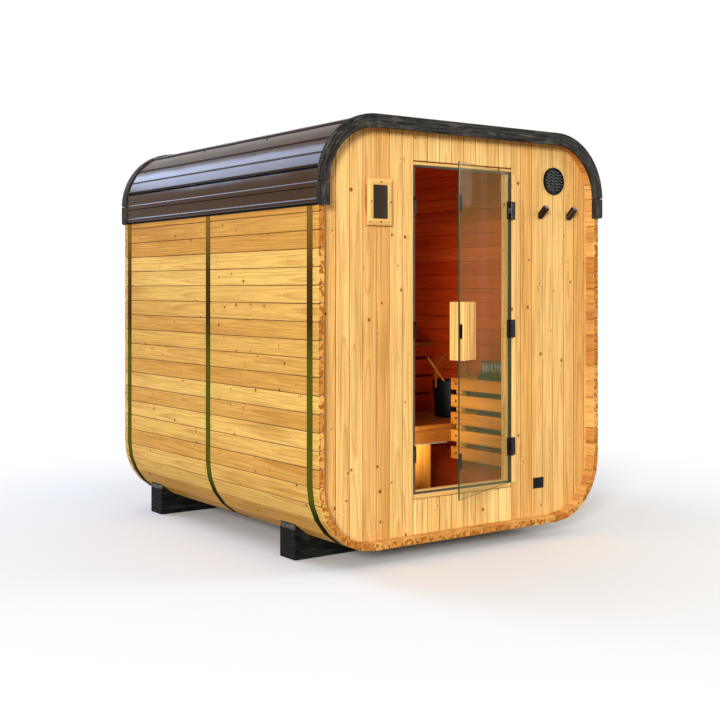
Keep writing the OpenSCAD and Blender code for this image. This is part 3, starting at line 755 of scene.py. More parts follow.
# Each finish is named for what it is. It gives the kind of surface, its colour, as a hex value or
# the name of a colour that the user may change, and what sets it apart from others of its kind.
FINISHES = {
    "oiled spruce boards": (wood, "front", dict(rings=0.4, heart=0.4, turn=(0.9, 0.79, 0.68))),
    "oiled spruce staves": (wood, "stave", dict(
        rings=0.45, heart=0.55, wander=0.018, fibre=(4, 130, 130), streak=(1.1, 9, 9),
        patchy=(0.47, 0.75), turn=(0.85, 0.74, 0.61))),
    "sawn spruce ends": (wood, "end", dict(
        rings=0.35, heart=1.0, ring=0.012, wander=0.006, knot=0, fibre=(60, 70, 70),
        streak=(5, 42, 42), patchy=(0.46, 0.6), rough=0.72, turn=(0.76, 0.6, 0.45))),
    # painted shade: the lining's colour is the spruce as it looks in the cabin's shade, and its faces
    # out of the cabin take the front boards' colour, painted as lit
    "spruce lining": (wood, "lining", dict(rings=0.25, heart=0.4, turn=(0.92, 0.7, 0.6),
                                           outdoors="front")),
    "bench planks": (wood, "bench", dict(rings=0.4, heart=0.6)),
    # painted shade: the cabin lining's dark colour
    "upper bench boards": (wood, "lining", dict(rings=0.4, heart=0.4, knot=0.006)),
    "guard slats": (wood, "guard", dict(rings=0.4, heart=0.5)),
    # the legs' bright colour is painted sunlight
    "planed spruce legs": (wood, "leg", dict(rings=0.3, heart=0.3)),
    # painted shade in the joints' gaps, with the dust and oil that gather there: grey-brown faces that
    # make each joint a dark line
    "dusty joint faces": (coated, "#5E4830", dict(rough=0.8, speck=400)),
    # heartwood with wide dark rings, picked for the handle
    "figured handle spruce": (wood, "#FFC876", dict(rings=0.95, heart=0.6, ring=0.022, knot=0,
                                                    turn=(0.97, 0.93, 0.88))),
    "black stained spruce": (stained, "trim", {}),
    "black stained beams": (stained, "#121210", {}),
    "brown stained pegs": (stained, "#2E2015", {}),
    # paler black stain: wear on the trim boards' sawn ends, and a painted highlight on the cradles'
    # rounded noses
    "worn black stain": (stained, "#444340", {}),
    # polyester on galvanised sheet: satin, with slow waves in the gloss
    "coated roof steel": (coated, "sheet", dict(rough=0.17, relief=0.02, Specular_IOR_Level=0.1)),
    # painted shade: the hem, the seams and the grooves are dead black, with no gloss
    "black butyl sealant": (coated, "#060606", dict(rough=0.9, speck=600,
                                                    Specular_IOR_Level=0.05)),
    # steel strap coloured with painted reflections, with painted shade at its foot and a painted
    # highlight at its top
    "painted steel strap": (band, "strap", dict(below="olive")),
    "grey rubber": (coated, "seal", dict(rough=0.6, speck=1500, Specular_IOR_Level=0.2)),
    # powder coat: matt black with a fine pimple
    "black powder coat": (coated, "#0F0F0F", dict(rough=0.42, speck=1300, relief=0.3,
                                                  Specular_IOR_Level=0.12)),
    # stoved paint: a bright line runs down each knuckle
    "glossy black hinges": (coated, "#0A0A0A", dict(rough=0.2, speck=600, relief=0.05,
                                                    Specular_IOR_Level=0.3)),
    "zinc plated steel": (coated, "#3E3F40", dict(rough=0.38, Metallic=1.0)),
    "blackened screws": (coated, "#0C0A08", dict(rough=0.35)),
    "moulded black plastic": (coated, "#070707", dict(rough=0.42, speck=700, relief=0.2,
                                                      Specular_IOR_Level=0.1)),
    "polished black plastic": (coated, "#050504", dict(rough=0.2, speck=300, relief=0.05,
                                                       Specular_IOR_Level=0.17)),
    # the slats are a dull grey-black, lighter and glossier than the rim: a painted highlight, so that
    # they show against the dark disc
    "rubbed black plastic": (coated, "#1B1A18", dict(rough=0.3, speck=300, relief=0.05,
                                                     Specular_IOR_Level=0.4)),
    "dark panel plastic": (coated, "panel", dict(rough=0.45, Specular_IOR_Level=0.12)),
    "enamelled heater steel": (coated, "#1E1D1E", dict(rough=0.35)),
    "galvanised strip": (coated, "#B9B4AA", dict(rough=0.45, Metallic=0.4)),
    "heater stones": (rock, "stone", {}),
    "clear toughened glass": (pane, "glass", dict(clear=0.16)),
    "green glass edge": (coated, "glass_edge", dict(rough=0.12, Specular_IOR_Level=0.3)),
    # the pegs' end faces are a pale grey, far lighter than their sides
    "weathered peg ends": (coated, "#66666A", dict(rough=0.7, speck=400)),
}


# ------------------------------------------------------------ shell

def circuit(shell):
    """The staves' joints round the shell as points in X and Z, anticlockwise from the right side's
    foot, with the mitre at each joint and the first joint of each stretch."""
    def corner(cx, cz, start):
        """A quarter circle's joints, six to the corner."""
        turn = np.radians(start + np.linspace(0, 90, 7)[:-1])
        return np.stack([cx + RADIUS * np.cos(turn), cz + RADIUS * np.sin(turn)], 1)

    def side(x, shift):
        """Joints one stave apart up a side, let down by the shift."""
        z = LOW_C + np.arange(0, math.ceil((HIGH_C - LOW_C) / shell.stave)) * shell.stave - shift
        return np.stack([np.full(len(z), x), np.maximum(z, LOW_C)], 1)

    def level(z, start):
        """Joints evenly spaced across the flat top or bottom."""
        x = np.linspace(start, -start, shell.top_staves + 1)[:-1]
        return np.stack([x, np.full(len(x), z)], 1)

    left = side(-HALF, 0)
    left = np.concatenate([[[-HALF, HIGH_C]], left[:0:-1]])
    stretches = [side(HALF, shell.right_shift), corner(FLAT_X, HIGH_C, 0), level(Z1, FLAT_X),
                 corner(-FLAT_X, HIGH_C, 90), left, corner(-FLAT_X, LOW_C, 180),
                 level(Z0, -FLAT_X), corner(FLAT_X, LOW_C, 270)]
    joints = np.concatenate(stretches)
    step = np.roll(joints, -1, 0) - joints
    normal = np.stack([step[:, 1], -step[:, 0]], 1)
    normal /= np.linalg.norm(normal, axis=1, keepdims=True)
    before = np.roll(normal, 1, 0)
    mitre = (normal + before) / (1 + (normal * before).sum(1, keepdims=True))
    return joints, mitre, np.cumsum([0] + [len(s) for s in stretches])


def in_space(flat, y=0.0):
    """Points in X and Z put into space at one place along Y."""
    return np.insert(flat, 1, y, axis=-1)


JOINT_GAP = 0.0015  # half the open joint between two boards


def build_staves():
    """Each stave is the joint profile between two joints of the circuit, carried along Y. The beads
    point up both sides from the middle of the floor, where the two halves meet in a straight
    joint, as they do in the middle of the ceiling."""
    shell, rng = sizes("shell"), np.random.default_rng(11)
    joints, mitre, first = circuit(shell)
    half = shell.top_staves // 2
    top, foot = first[2] + half, first[6] + half
    bead, chord = shell.bead, 0.026
    names = ("right_wall", "corners_top", "ceiling", "corners_top", "left_wall",
             "corners_bottom", "floor", "corners_bottom")
    finishes = ("oiled spruce staves", "sawn spruce ends", "spruce lining", "dusty joint faces")
    made = {}
    for name, start, stop in zip(names, first[:-1], first[1:]):
        cuts = sorted({start, stop, *(k for m in (top, foot) for k in (m - 1, m, m + 1)
                                      if start < k < stop)})
        for a, b in zip(cuts[:-1], cuts[1:]):
            low, high = np.arange(a, b), np.arange(a + 1, b + 1) % len(joints)
            if top <= a < foot:
                low, high = high, low
            joint = joint_profile(STAVE_T, 0.0 if a in (top - 1, top) else bead,
                                  0.0 if a in (foot - 1, foot) else bead, chord, JOINT_GAP,
                                  shell.ease)
            play = rng.uniform(0, shell.end_play, (2, b - a, 1))

            def ends(flat):
                """The staves' two ends, each short of the shell's by its own play."""
                return np.stack([np.broadcast_to(Y0 + play[0], flat.shape[:2]),
                                 np.broadcast_to(Y1 - play[1], flat.shape[:2])])

            made.setdefault(name, []).append(milled(
                in_space(joints[low]), in_space(joints[high]), in_space(-mitre[low]),
                in_space(-mitre[high]), (0, 1, 0), ends, STAVE_T, joint, rng))
    for name, patches in made.items():
        piece("staves_" + name, patches, finishes, replaces=[name])


CROZE = 0.010       # how deep the end walls' boards run into the staves
# the corner board's tone: darker wood, with the staves' shadow on the wall's edge painted in
DARK_AND_SHADED = 1.35        # the tone of a board darker than the rest
NARROWEST = 0.02    # no board of an end wall is narrower than this


def croze(x):
    """How far above the corners' centres a wall's boards reach at x, set into the staves."""
    reach = RADIUS - STAVE_T + CROZE
    past = np.clip(np.abs(x) - FLAT_X, 0, reach)
    return np.sqrt(np.maximum(reach ** 2 - past ** 2, 0))


def wall_patch(joints, y, inward, rng, low=None, high=None, brown=(), tones=(0, 0.9)):
    """Upright boards between joints at each x, from a lower to a higher end or into the staves.
    The boards listed in brown are darker than the range of tones: partly darker wood, and partly
    the staves' shadow on the wall's edge, painted in."""
    joints = np.asarray(joints, float)
    depth, bead, chord = WALL_Y1 - WALL_Y0, 0.004, 0.012
    start = np.stack([joints[:-1], np.full(len(joints) - 1, y), np.zeros(len(joints) - 1)], 1)
    end = start + np.stack([np.diff(joints), 0 * joints[1:], 0 * joints[1:]], 1)
    into = np.tile([0.0, inward, 0.0], (len(start), 1))

    def ends(flat):
        """Where each point's board stops: at the doorway, or on the circle of the croze."""
        reach = croze(flat[..., 0])
        return np.stack([LOW_C - reach if low is None else np.full(reach.shape, low),
                         HIGH_C + reach if high is None else np.full(reach.shape, high)])

    joint = joint_profile(depth, bead, bead, chord, JOINT_GAP, sizes("shell").board_ease)
    tone = rng.uniform(*tones, len(start))
    tone[list(brown)] = DARK_AND_SHADED
    return milled(start, end, into, into, (0, 0, 1), ends, depth, joint, rng, tone=tone)


def build_end_walls():
    """Upright boards with milled joints, whose ends follow the circle of the croze or stop at the
    doorway. The joints are one board apart, counted from the middle of the doorway."""
    shell, rng = sizes("shell"), np.random.default_rng(23)
    gap, reach = sizes("door").wall_gap, INNER_X + CROZE
    left, right = FRAME[0, 0], FRAME[1, 0]
    lines = FRAME[:, 0].mean() + shell.board * np.arange(-12, 13)

    def between(low, high):
        """The lines that leave no board narrower than the narrowest."""
        return lines[(lines > low + NARROWEST) & (lines < high - NARROWEST)]

    over = [left - gap, *between(left, right), right + gap]
    walls = (
        # the first board is darker: darker wood, with the staves' shadow painted in
        ("front_wall_left", [-reach, *between(-reach, left), left - gap], {"brown": [0]}),
        ("front_wall_right", [right + gap, *between(right, reach), reach], {}),
        # head and sill boards paler than the rest: painted light that lifts the trim's shade over the
        # head and the door glass's shade over the sill
        ("front_wall_head", over, {"low": FRAME[1, 2] + 2 * gap, "tones": (-0.2, 0.5)}),
        ("front_wall_sill", over, {"high": FRAME[0, 2] - gap, "tones": (-0.4, 0.25)}),
        ("back_wall", [-reach, *between(-reach, reach), reach], {}),
    )
    for name, joints, limits in walls:
        outside, inward = (BACK_Y1, -1) if name == "back_wall" else (WALL_Y0, 1)
        piece("boards_" + name, [wall_patch(joints, outside, inward, rng, **limits)],
              (*SPRUCE, "spruce lining", "dusty joint faces"), replaces=[name])


# ------------------------------------------------------------ roof

SIDE_RUN = HIGH_C - ROOF[0, 2]                      # the sheets' upright run above the eaves
CURVE_RUN = RADIUS * math.pi / 2                    # their run round a corner
HALF_RUN = SIDE_RUN + CURVE_RUN + FLAT_X            # eaves to the middle of the top


def over_roof(s):
    """The place on the staves' outside, in X and Z, at a distance s up from the left eaves, and the
    direction out of it. Past the middle it is the same mirrored."""
    s = np.asarray(s, float)
    back = np.where(s > HALF_RUN, 2 * HALF_RUN - s, s)
    turn = np.clip(back - SIDE_RUN, 0, CURVE_RUN) / RADIUS
    out = np.stack([-np.cos(turn), np.sin(turn)], -1)
    place = np.array([-FLAT_X, HIGH_C]) + RADIUS * out
    place[..., 1] -= np.maximum(SIDE_RUN - back, 0)
    place[..., 0] += np.maximum(back - SIDE_RUN - CURVE_RUN, 0)
    flip = np.where(s > HALF_RUN, -1.0, 1.0)[..., None] * [1, 0] + [0, 1]
    return place * flip, out * flip


def half_round(at, width, height, base):
    """A rounded rib on the sheet: half a sine wave, as places across the roof and heights."""
    t = np.linspace(0, 1, 7)
    return np.stack([at + width * t, base + height * np.sin(math.pi * t)], 1)


def sheet_profile(roof):
    """Places across the left half of the roof and the sheets' heights there: a hem and a roll at
    the eaves, then seams a panel apart, each with a swage and a rib above it. Also the stretches
    that are painted black as shade: the hem, the seams and the grooves beside the small ribs."""
    # heights of the pans and of the grooves, and how far a groove's wall leans
    b, low, step = roof.base, 0.0006, 0.0008
    lines = [np.array([(0, 0.007), (0.012, 0.007), (0.014, b)]),
             half_round(0.023, 0.013, roof.rib, b), half_round(0.108, 0.012, roof.swage, b)]
    grooves = [(0.088, 0.093)]
    at = roof.first_seam
    while at < HALF_RUN - 0.1:
        lines.append(half_round(at + 0.014, 0.012, roof.seam, b))
        lines.append(half_round(at + 0.085, 0.008, roof.swage, b))
        lines.append(half_round(at + 0.176, 0.010, roof.rib, b))
        grooves += [(at, at + 0.013), (at + 0.080, at + 0.084), (at + 0.168, at + 0.175)]
        at += roof.panel
    lines += [np.array([(x0, b), (x0 + step, low), (x1 - step, low), (x1, b)])
              for x0, x1 in grooves]
    points = np.concatenate(lines)
    points = points[np.argsort(points[:, 0])]
    return points[points[:, 0] < HALF_RUN - 0.03], [(-0.001, 0.0125), *grooves]


def sheet_patch(start, stop, roof, rng, mirrored_too):
    """Thin ribbed sheet from one place across the roof to another, carried along Y, with the slight
    waves of sheet fixed to boards: sums of slow sines along and across."""
    lines, black = sheet_profile(roof)
    lines = np.concatenate([lines, (lines * [-1, 1] + [2 * HALF_RUN, 0])[::-1]])
    s = np.union1d(lines[:, 0], np.arange(0, 2 * HALF_RUN, 0.014))
    s = np.concatenate([[start], s[(s > start + 1e-4) & (s < stop - 1e-4)], [stop]])
    height = np.interp(s, lines[:, 0], lines[:, 1])
    rows, buckle, gauge, clear = 36, 0.00035, 0.0012, 0.0004
    y = np.linspace(ROOF[0, 1], ROOF[1, 1], rows)[:, None]
    a, b, c = rng.uniform(0, 2 * math.pi, 3)
    wave = buckle * (np.sin(9 * y + a) * np.sin(21 * s + b) + np.sin(15 * y + 8 * s + c))
    place, out = over_roof(s)
    skins = []
    for skin in (height + wave, height + wave - gauge):
        flat = place + np.maximum(skin, clear)[..., None] * out
        along = np.broadcast_to(y[..., None], flat[..., :1].shape)
        skins.append(np.concatenate([flat[..., :1], along, flat[..., 1:]], -1))
    ring = np.concatenate([skins[0], skins[1][:, ::-1]], 1)[None]
    if mirrored_too:
        ring = np.concatenate([ring, ring * [-1, 1, 1]])
    middle = (s[:-1] + s[1:]) / 2
    middle = np.minimum(middle, 2 * HALF_RUN - middle)
    # the faces in those stretches get the black of painted shade
    in_painted_shade = sum(((middle > x0) & (middle < x1)).astype(int) for x0, x1 in black)
    kinds = np.concatenate([in_painted_shade, [0], in_painted_shade[::-1], [0]])
    return Patch(ring, kinds=kinds, cap=0)


def build_roof():
    """One sheet patch for each side, mirrored, and one over the top, between the same seams."""
    roof, rng = sizes("roof"), np.random.default_rng(31)
    split_at = roof.first_seam + 2 * roof.panel
    steel = ("coated roof steel", "black butyl sealant")
    piece("sheets_sides", [sheet_patch(0, split_at, roof, rng, True)], steel,
          replaces=["roof_sheets_sides"], sharp=28)
    piece("sheet_top", [sheet_patch(split_at, 2 * HALF_RUN - split_at, roof, rng, False)], steel,
          replaces=["roof_sheet_top"], sharp=28)


def trim_patch(section, start, stop, rng, steps, low_corner=0.0):
    """Trim boards on both sides, or one over the top: the section is carried over the roof's line.
    Its outer lower corner is a quarter circle of radius low_corner."""
    s = np.linspace(start, stop, steps)
    if low_corner:
        s = np.union1d(s, start + low_corner * (1 - np.cos(np.linspace(0, math.pi / 2, 7))))
    place, out = over_roof(s)
    down = np.clip(low_corner - (s - start), 0, low_corner)
    limit = section[:, 0].max() - low_corner + np.sqrt(np.maximum(low_corner ** 2 - down ** 2, 0))
    count = 1 if stop > HALF_RUN else 2
    path = np.stack([in_space(place * [flip, 1]) for flip in (1, -1)[:count]])
    outwards = np.stack([in_space(out * [flip, 1]) for flip in (1, -1)[:count]])
    side = np.broadcast_to([0.0, 1.0, 0.0], path.shape)
    return swept(section, path, outwards, side, rng, limit=np.broadcast_to(limit, path.shape[:2]))


def build_trim():
    """Trim boards carried over the roof's line in front of and behind the staves: straight ends,
    two to each curve and one over the top. The rear section's lip covers the sheets' edge."""
    roof, rng = sizes("roof"), np.random.default_rng(37)
    top, inner, y1, lip = TRIM[1, 2] - Z1, -TRIM_DOWN, REAR_TRIM[1, 1], REAR_TRIM[0, 1]
    low, gap = 0.0004, 0.002
    rear = [[inner, Y1], [low, Y1], [low, lip], [top, lip], [top, y1], [inner, y1]]
    sections = {"front": rectangle(inner, top, TRIM[0, 1], Y0, roof.trim_ease),
                "rear": rounded(rear, roof.trim_ease)}
    round_corner = SIDE_RUN + CURVE_RUN
    lengths = {"ends": (np.linspace(0, SIDE_RUN, 2), 8, roof.trim_corner),
               "curves": (np.linspace(SIDE_RUN, round_corner, 3), 25, 0.0),
               "top": (np.linspace(round_corner, 2 * HALF_RUN - round_corner, 2), 12, 0.0)}
    for place, section in sections.items():
        for name, (cuts, steps, corner) in lengths.items():
            spans = zip(cuts[:-1] + gap * (cuts[:-1] > 0), cuts[1:] - gap)
            patches = [trim_patch(section, start, stop, rng, steps, corner)
                       for start, stop in spans]
            piece(f"{place}_trim_boards_{name}", patches,
                  ("black stained spruce", "worn black stain"),
                  replaces=[f"{place}_trim_{name}"])


# ------------------------------------------------------------ straps and cradles

def build_straps_and_cradles():
    """The straps keep their shape. A cradle is an outline in X and Z carried along Y: up its end,
    round a quadratic nose, and along the staves' circle to the middle, and the same mirrored. A
    live bevel rounds its edges, and the noses have a paler stain: a painted highlight."""
    shell = sizes("shell")
    # the straps keep their shape and get painted reflections, shade and highlight
    dress(["straps"], "painted steel strap")
    points = np.array([list(v.co) for v in frame["nodes"]["cradles"].data.vertices])
    half, foot, top = points[:, 0].max(), points[:, 2].min(), points[:, 2].max()
    first = -math.degrees(math.acos((half - FLAT_X) / RADIUS))
    bend, _ = arc((FLAT_X, LOW_C), RADIUS, first, -90, 14)
    bend = bend[bend[:, 1] < top - 1e-4]
    t = np.linspace(0, 1, 5)[:, None]
    nose = np.array([half, top]) - shell.cradle_nose * np.concatenate([t ** 2, (1 - t) ** 2], 1)
    rim = [[FLAT_X + math.sqrt(RADIUS ** 2 - (LOW_C - top) ** 2), top]]
    seat = np.concatenate([nose, rim, bend])
    outline = np.concatenate([[[half, foot]], seat, (seat * [-1, 1])[::-1], [[-half, foot]]])
    rear = points[:, 1] > points[:, 1].mean()
    rings = np.stack([[in_space(outline, y.min()), in_space(outline, y.max())]
                      for y in (points[~rear, 1], points[rear, 1])])
    # the noses' faces get the paler stain: a painted highlight
    worn_and_lit = np.zeros(len(outline), int)
    worn_and_lit[[*range(1, len(nose)), *range(-len(nose) - 1, -2)]] = 1
    cut_from = [3, 0.2, 0.3]    # where the beams lay in their log
    made = piece("cradle_beams", [Patch(rings, rings + cut_from, kinds=worn_and_lit)],
                 ["black stained beams", "worn black stain"],
                 replaces=["cradles"])
    bevel = made.modifiers.new("eased edges", "BEVEL")
    bevel.width, bevel.segments, bevel.angle_limit = shell.cradle_ease, 2, math.radians(40)


# ------------------------------------------------------------ doorway

def build_door_frame():
    """Straight boards and strips that fill boxes between the frame's corners: head and sill run
    through, the jambs and the sill's stop stand between them, and the seal's left strip is cut
    where the catches are."""
    door, rng = sizes("door"), np.random.default_rng(41)
    (x0, y0, z0), (x1, y1, z1) = FRAME
    (_, front, s0), (_, back, s1) = corners("door_seal")
    stop_rise, right_seal = 0.004, 0.008
    low, high = s0 + door.seal, s1 - door.seal
    lying = boards([(x0, x1, y0, y1, s1, z1), (x0, x1, y0, y1, z0, s0)], "xyz", rng, tone=0.35)
    upright = boards([(x0, x0 + door.left_jamb, back, y1, s0, s1),
                      (x1 - door.right_jamb, x1, back, y1, s0, s1)], "zyx", rng, tone=0.6)
    stop = boards([(x0 + door.left_jamb, x1 - door.right_jamb, back, y1, s0, low + stop_rise)],
                  "xyz", rng, tone=0.0)
    piece("door_lining", [lying, upright, stop], SPRUCE,
          replaces=["door_frame"])

    catch, slack = corners("door_catches"), 0.01
    heights = np.array([v.co.z for v in frame["nodes"]["door_catches"].data.vertices])
    near = [heights[(heights >= a) & (heights <= a + door.catch + slack)]
            for a in np.unique(np.round(heights, 3))[::2]]
    spans = sorted({(round(run.min(), 3), round(run.max(), 3)) for run in near})
    edges = [low, *[z for span in spans for z in span], high]
    left = [(x0, x0 + door.seal, front, back, a, b) for a, b in zip(edges[::2], edges[1::2])]
    right = (x1 - right_seal, x1, front, back, low, high)
    across = [(x0, x1, front, back, s0, low), (x0, x1, front, back, high, s1)]
    piece("seal_strips", [boards(left + [right], "zxy", rng, ease=0.003, cap=0),
                          boards(across, "xzy", rng, ease=0.003, cap=0)],
          ["grey rubber"], replaces=["door_seal"])
    batten = boards([corners("hinge_batten").T.ravel()], "zxy", rng, tone=0.0)
    piece("batten_strip", [batten], SPRUCE, replaces=["hinge_batten"])

    cap, proud = 0.010, 0.0006
    caps = [(catch[0, 0], catch[1, 0], catch[0, 1] - proud, catch[1, 1], end, end + cap)
            for a, b in spans for end in (a - proud, b + proud - cap)]
    piece("catch_caps", [boards(caps, "zxy", rng, ease=0.002, cap=0)], ["moulded black plastic"])
    dress(["door_catches"], "zinc plated steel")
    dress(["hinge_fixed_leaves"], "glossy black hinges")


def build_door():
    """Boxes in the shut door's place, turned about the pin: the pane, and two handles whose boards
    are held off the glass by spacers, with a gap for the fingers."""
    door, rng = sizes("door"), np.random.default_rng(43)
    faces = [2, 8]              # the columns of an eased rectangle that are the pane's two faces
    edge = np.ones(12, int)
    edge[faces] = 0
    glass = boards([GLASS.T.ravel()], "zxy", rng, ease=0.0012, kind=edge, cap=1).moved(swung)
    piece("glass_pane", [glass], ("clear toughened glass", "green glass edge"), body="door",
          replaces=["door_glass"])
    (x0, front, z0), (x1, back, z1) = shut_corners("door_handles")
    g0, g1 = GLASS[:, 1]
    gap0, gap1 = (z0 + z1 - door.handle_gap) / 2, (z0 + z1 + door.handle_gap) / 2
    board, width, spacer = 0.010, 0.156, 0.030
    outer = [(x0, x0 + width, front, front + board, z0, z1),
             (x0, x0 + width, front + board, g0, z0, gap0),
             (x0, x0 + width, front + board, g0, gap1, z1)]
    inner = [(x1 - width, x1 - width + spacer, g1, back - board, z0, z1),
             (x1 - width, x1, back - board, back, z0, z1)]
    piece("handle_boards", [boards(outer, "zxy", rng, ease=0.003, kind=2).moved(swung),
                            boards(inner, "zxy", rng, ease=0.003, tone=0.1).moved(swung)],
          (*SPRUCE, "figured handle spruce"), body="door",
          replaces=["door_handles"])
    dress(["hinge_moving_leaves"], "glossy black hinges")
    dress(["strike_plates"], "black powder coat")


# ------------------------------------------------------------ fittings on the front wall

PANEL_RIDGE = 0.55              # how far across the panel's frame its ridge and its screws lie


def mitred(box, section, rng):
    """A frame of four mitred members: each runs from one corner of the box to the next, and the
    section (in from the outer edge, out from the wall) lies along each corner's diagonal."""
    (x0, z0), (x1, z1) = box
    at = np.array([[x0, z0], [x1, z0], [x1, z1], [x0, z1]])
    inwards = np.array([[1, 1], [-1, 1], [-1, -1], [1, -1]])
    u, v = section.T
    flat = at[:, None] + u[None, :, None] * inwards[:, None]
    ring = np.stack([flat[..., 0], np.broadcast_to(WALL_Y0 - v, flat.shape[:2]), flat[..., 1]], -1)
    points = np.stack([ring, np.roll(ring, -1, 0)], 1)
    run = np.linalg.norm(np.roll(at, -1, 0) - at, axis=1)
    trimmed = np.stack([np.broadcast_to(u, (4, len(u))), run[:, None] - u], 1)
    grain = np.stack(np.broadcast_arrays(trimmed, u, v), -1) + grown(rng, 4)[:, None, None]
    kinds = np.zeros(len(u), int)
    kinds[2] = 1                # the face between the outer corners is sawn
    return Patch(points, grain, rng.uniform(0.1, 0.5, 4), kinds, 1)


def build_vent(fit, rng):
    """A turned rim round a sunk disc, with slats across it: rounded bars carried along sine waves,
    each as long as the circle is wide at its height."""
    vent = corners("vent_grille")
    centre, radius = vent.mean(0), (vent[1, 0] - vent[0, 0]) / 2
    deep, rim = WALL_Y0 - vent[0, 1], fit.vent_rim
    wave_height, wave_length = 0.003, 0.034
    profile = [(radius, 0.0), (radius, 0.6 * deep), (radius - 0.003, 0.92 * deep),
               (radius - 0.007, deep), (radius - rim, 0.9 * deep),
               (radius - rim - 0.002, 0.3 * deep), (0.02, 0.25 * deep), (POLE, 0.25 * deep),
               (POLE, 0.0)]
    ring = lathe(profile, [centre[0], WALL_Y0, centre[2]], (0, -1, 0), segments=64)
    count = fit.vent_waves
    drop = (np.arange(1, count + 1) / (count + 1) * 2 - 1) * (radius - rim)
    half = np.sqrt((radius - rim / 2) ** 2 - drop ** 2)
    x = half[:, None] * np.linspace(-1, 1, 41)
    wave = wave_height * np.sin(2 * math.pi * x / wave_length)
    path = np.stack([centre[0] + x, np.full(x.shape, WALL_Y0 - 0.55 * deep),
                     centre[2] + drop[:, None] + wave], -1)
    slat = rectangle(-0.0030, 0.0030, -0.0035, 0.0045, 0.0015)
    up = np.broadcast_to([0.0, 0.0, 1.0], path.shape)
    out = np.broadcast_to([0.0, -1.0, 0.0], path.shape)
    # the slats' lighter black is a painted highlight
    piece("vent_rim_and_slats", [ring, swept(slat, path, up, out, rng, kinds=1)],
          ("polished black plastic", "rubbed black plastic"),
          replaces=["vent_grille"])


def build_pegs(fit, rng):
    """Square bars with eased edges, tilted up about the wall's face and sunk a little into it."""
    pegs = corners("coat_pegs")
    wide, root = fit.peg, 0.006
    c, s = math.cos(fit.peg_tilt), math.sin(fit.peg_tilt)
    slope = np.array([[1, 0, 0], [0, c, s], [0, -s, c]])
    reach = (WALL_Y0 - pegs[0, 1] - wide / 2 * s) / c
    height = pegs[1, 2] - reach * s - wide / 2 * c
    peg = boards([(-wide / 2, wide / 2, -reach, root, -wide / 2, wide / 2)] * 2, "yxz", rng,
                 ease=0.0025)
    feet = [[x, WALL_Y0, height] for x in (pegs[0, 0] + wide / 2, pegs[1, 0] - wide / 2)]
    places = np.repeat(feet, len(peg.points) // 2, axis=0)
    piece("pegs", [peg.moved(lambda p: p @ slope.T + places)],
          ("brown stained pegs", "weathered peg ends"),
          replaces=["coat_pegs"])


def build_front_fittings():
    """The vent, the pegs, the panel in its bevelled and mitred frame, and the bare plate."""
    fit, rng = sizes("fittings"), np.random.default_rng(47)
    build_vent(fit, rng)
    build_pegs(fit, rng)
    surround, panel = corners("panel_frame"), corners("dark_panel")
    proud, wide = WALL_Y0 - surround[0, 1], panel[0, 0] - surround[0, 0]
    inner_lip = 0.004
    section = rounded([[0, 0], [0, proud - fit.panel_bevel], [wide * PANEL_RIDGE, proud],
                       [wide, proud - inner_lip], [wide, 0]], 0.002)
    piece("panel_surround", [mitred(surround[:, [0, 2]], section, rng)], SPRUCE,
          replaces=["panel_frame"])
    piece("panel_face", [boards([panel.T.ravel()], "zxy", rng, cap=0)], ["dark panel plastic"],
          replaces=["dark_panel"])
    plate = boards([corners("badge_plate").T.ravel()], "zxy", rng, ease=0.001, cap=0)
    piece("bare_plate", [plate], ["black powder coat"],
          replaces=["badge_plate"])


# ------------------------------------------------------------ cabin

def seat_boxes(node, count, gap):
    """The boxes of a seat's boards, side by side from its front to its back."""
    (x0, y0, z0), (x1, y1, z1) = corners(node)
    start, stop = split(y0, y1, count, gap)
    return [(x0, x1, a, b, z0, z1) for a, b in zip(start, stop)]


def build_benches():
    """Straight boards that fill boxes: planks side by side in each seat, the lower bench's rail,
    legs and grey strip, and slats on two posts between the seats."""
    cabin, rng = sizes("cabin"), np.random.default_rng(53)
    plank = ("bench planks", "sawn spruce ends")
    for seat, count in (("lower_bench_seat", cabin.lower_boards),
                        ("upper_bench_seat", cabin.upper_boards)):
        planks = boards(seat_boxes(seat, count, cabin.seat_gap), "xyz", rng, ease=0.004)
        piece(seat + "_planks", [planks], plank, replaces=[seat])

    (x0, y0, z0), (x1, y1, z1) = corners("lower_bench_frame")
    under, half = z1 - cabin.front_h, cabin.leg_w / 2
    rail = boards([(x0, x1, y0, y0 + cabin.front_t, under, z1)], "xzy", rng, tone=0.4)
    piece("lower_bench_rail", [rail], plank, replaces=["lower_bench_frame"])
    legs = [(s * cabin.leg_x - half, s * cabin.leg_x + half, y1 - cabin.leg_d, y1, z0, under)
            for s in (-1, 1)]
    piece("lower_bench_legs", [boards(legs, "zxy", rng, ease=0.003, tone=0.3)],
          ("planed spruce legs", "sawn spruce ends"))
    strip = (x0 + 0.004, cabin.strip_end, y0 - 0.001, y0 + 0.014, under - 0.006, under - 0.0005)
    piece("lower_bench_strip", [boards([strip], "xyz", rng, ease=0.001, cap=0)],
          ["galvanised strip"])

    (x0, y0, z0), (x1, y1, z1) = corners("upper_bench_skirt")
    seat = corners("lower_bench_seat")[1, 2]
    rail_h, gap, post_x, half = 0.070, 0.018, 0.6225, cabin.leg_d / 2
    front = y0 + cabin.front_t
    pitch = (z1 - rail_h - seat) / 3
    slats = [(x0, x1, y0, front, seat + k * pitch, seat + (k + 1) * pitch - gap) for k in range(3)]
    slats.append((x0, x1, y0, front, z1 - rail_h, z1))
    posts = [(s * post_x - half, s * post_x + half, front, y1, z0, z1) for s in (-1, 1)]
    piece("upper_bench_boards", [boards(slats, "xzy", rng, ease=0.004),
                                 boards(posts, "zxy", rng, ease=0.003)],
          ("upper bench boards", "sawn spruce ends"),
          replaces=["upper_bench_skirt"])


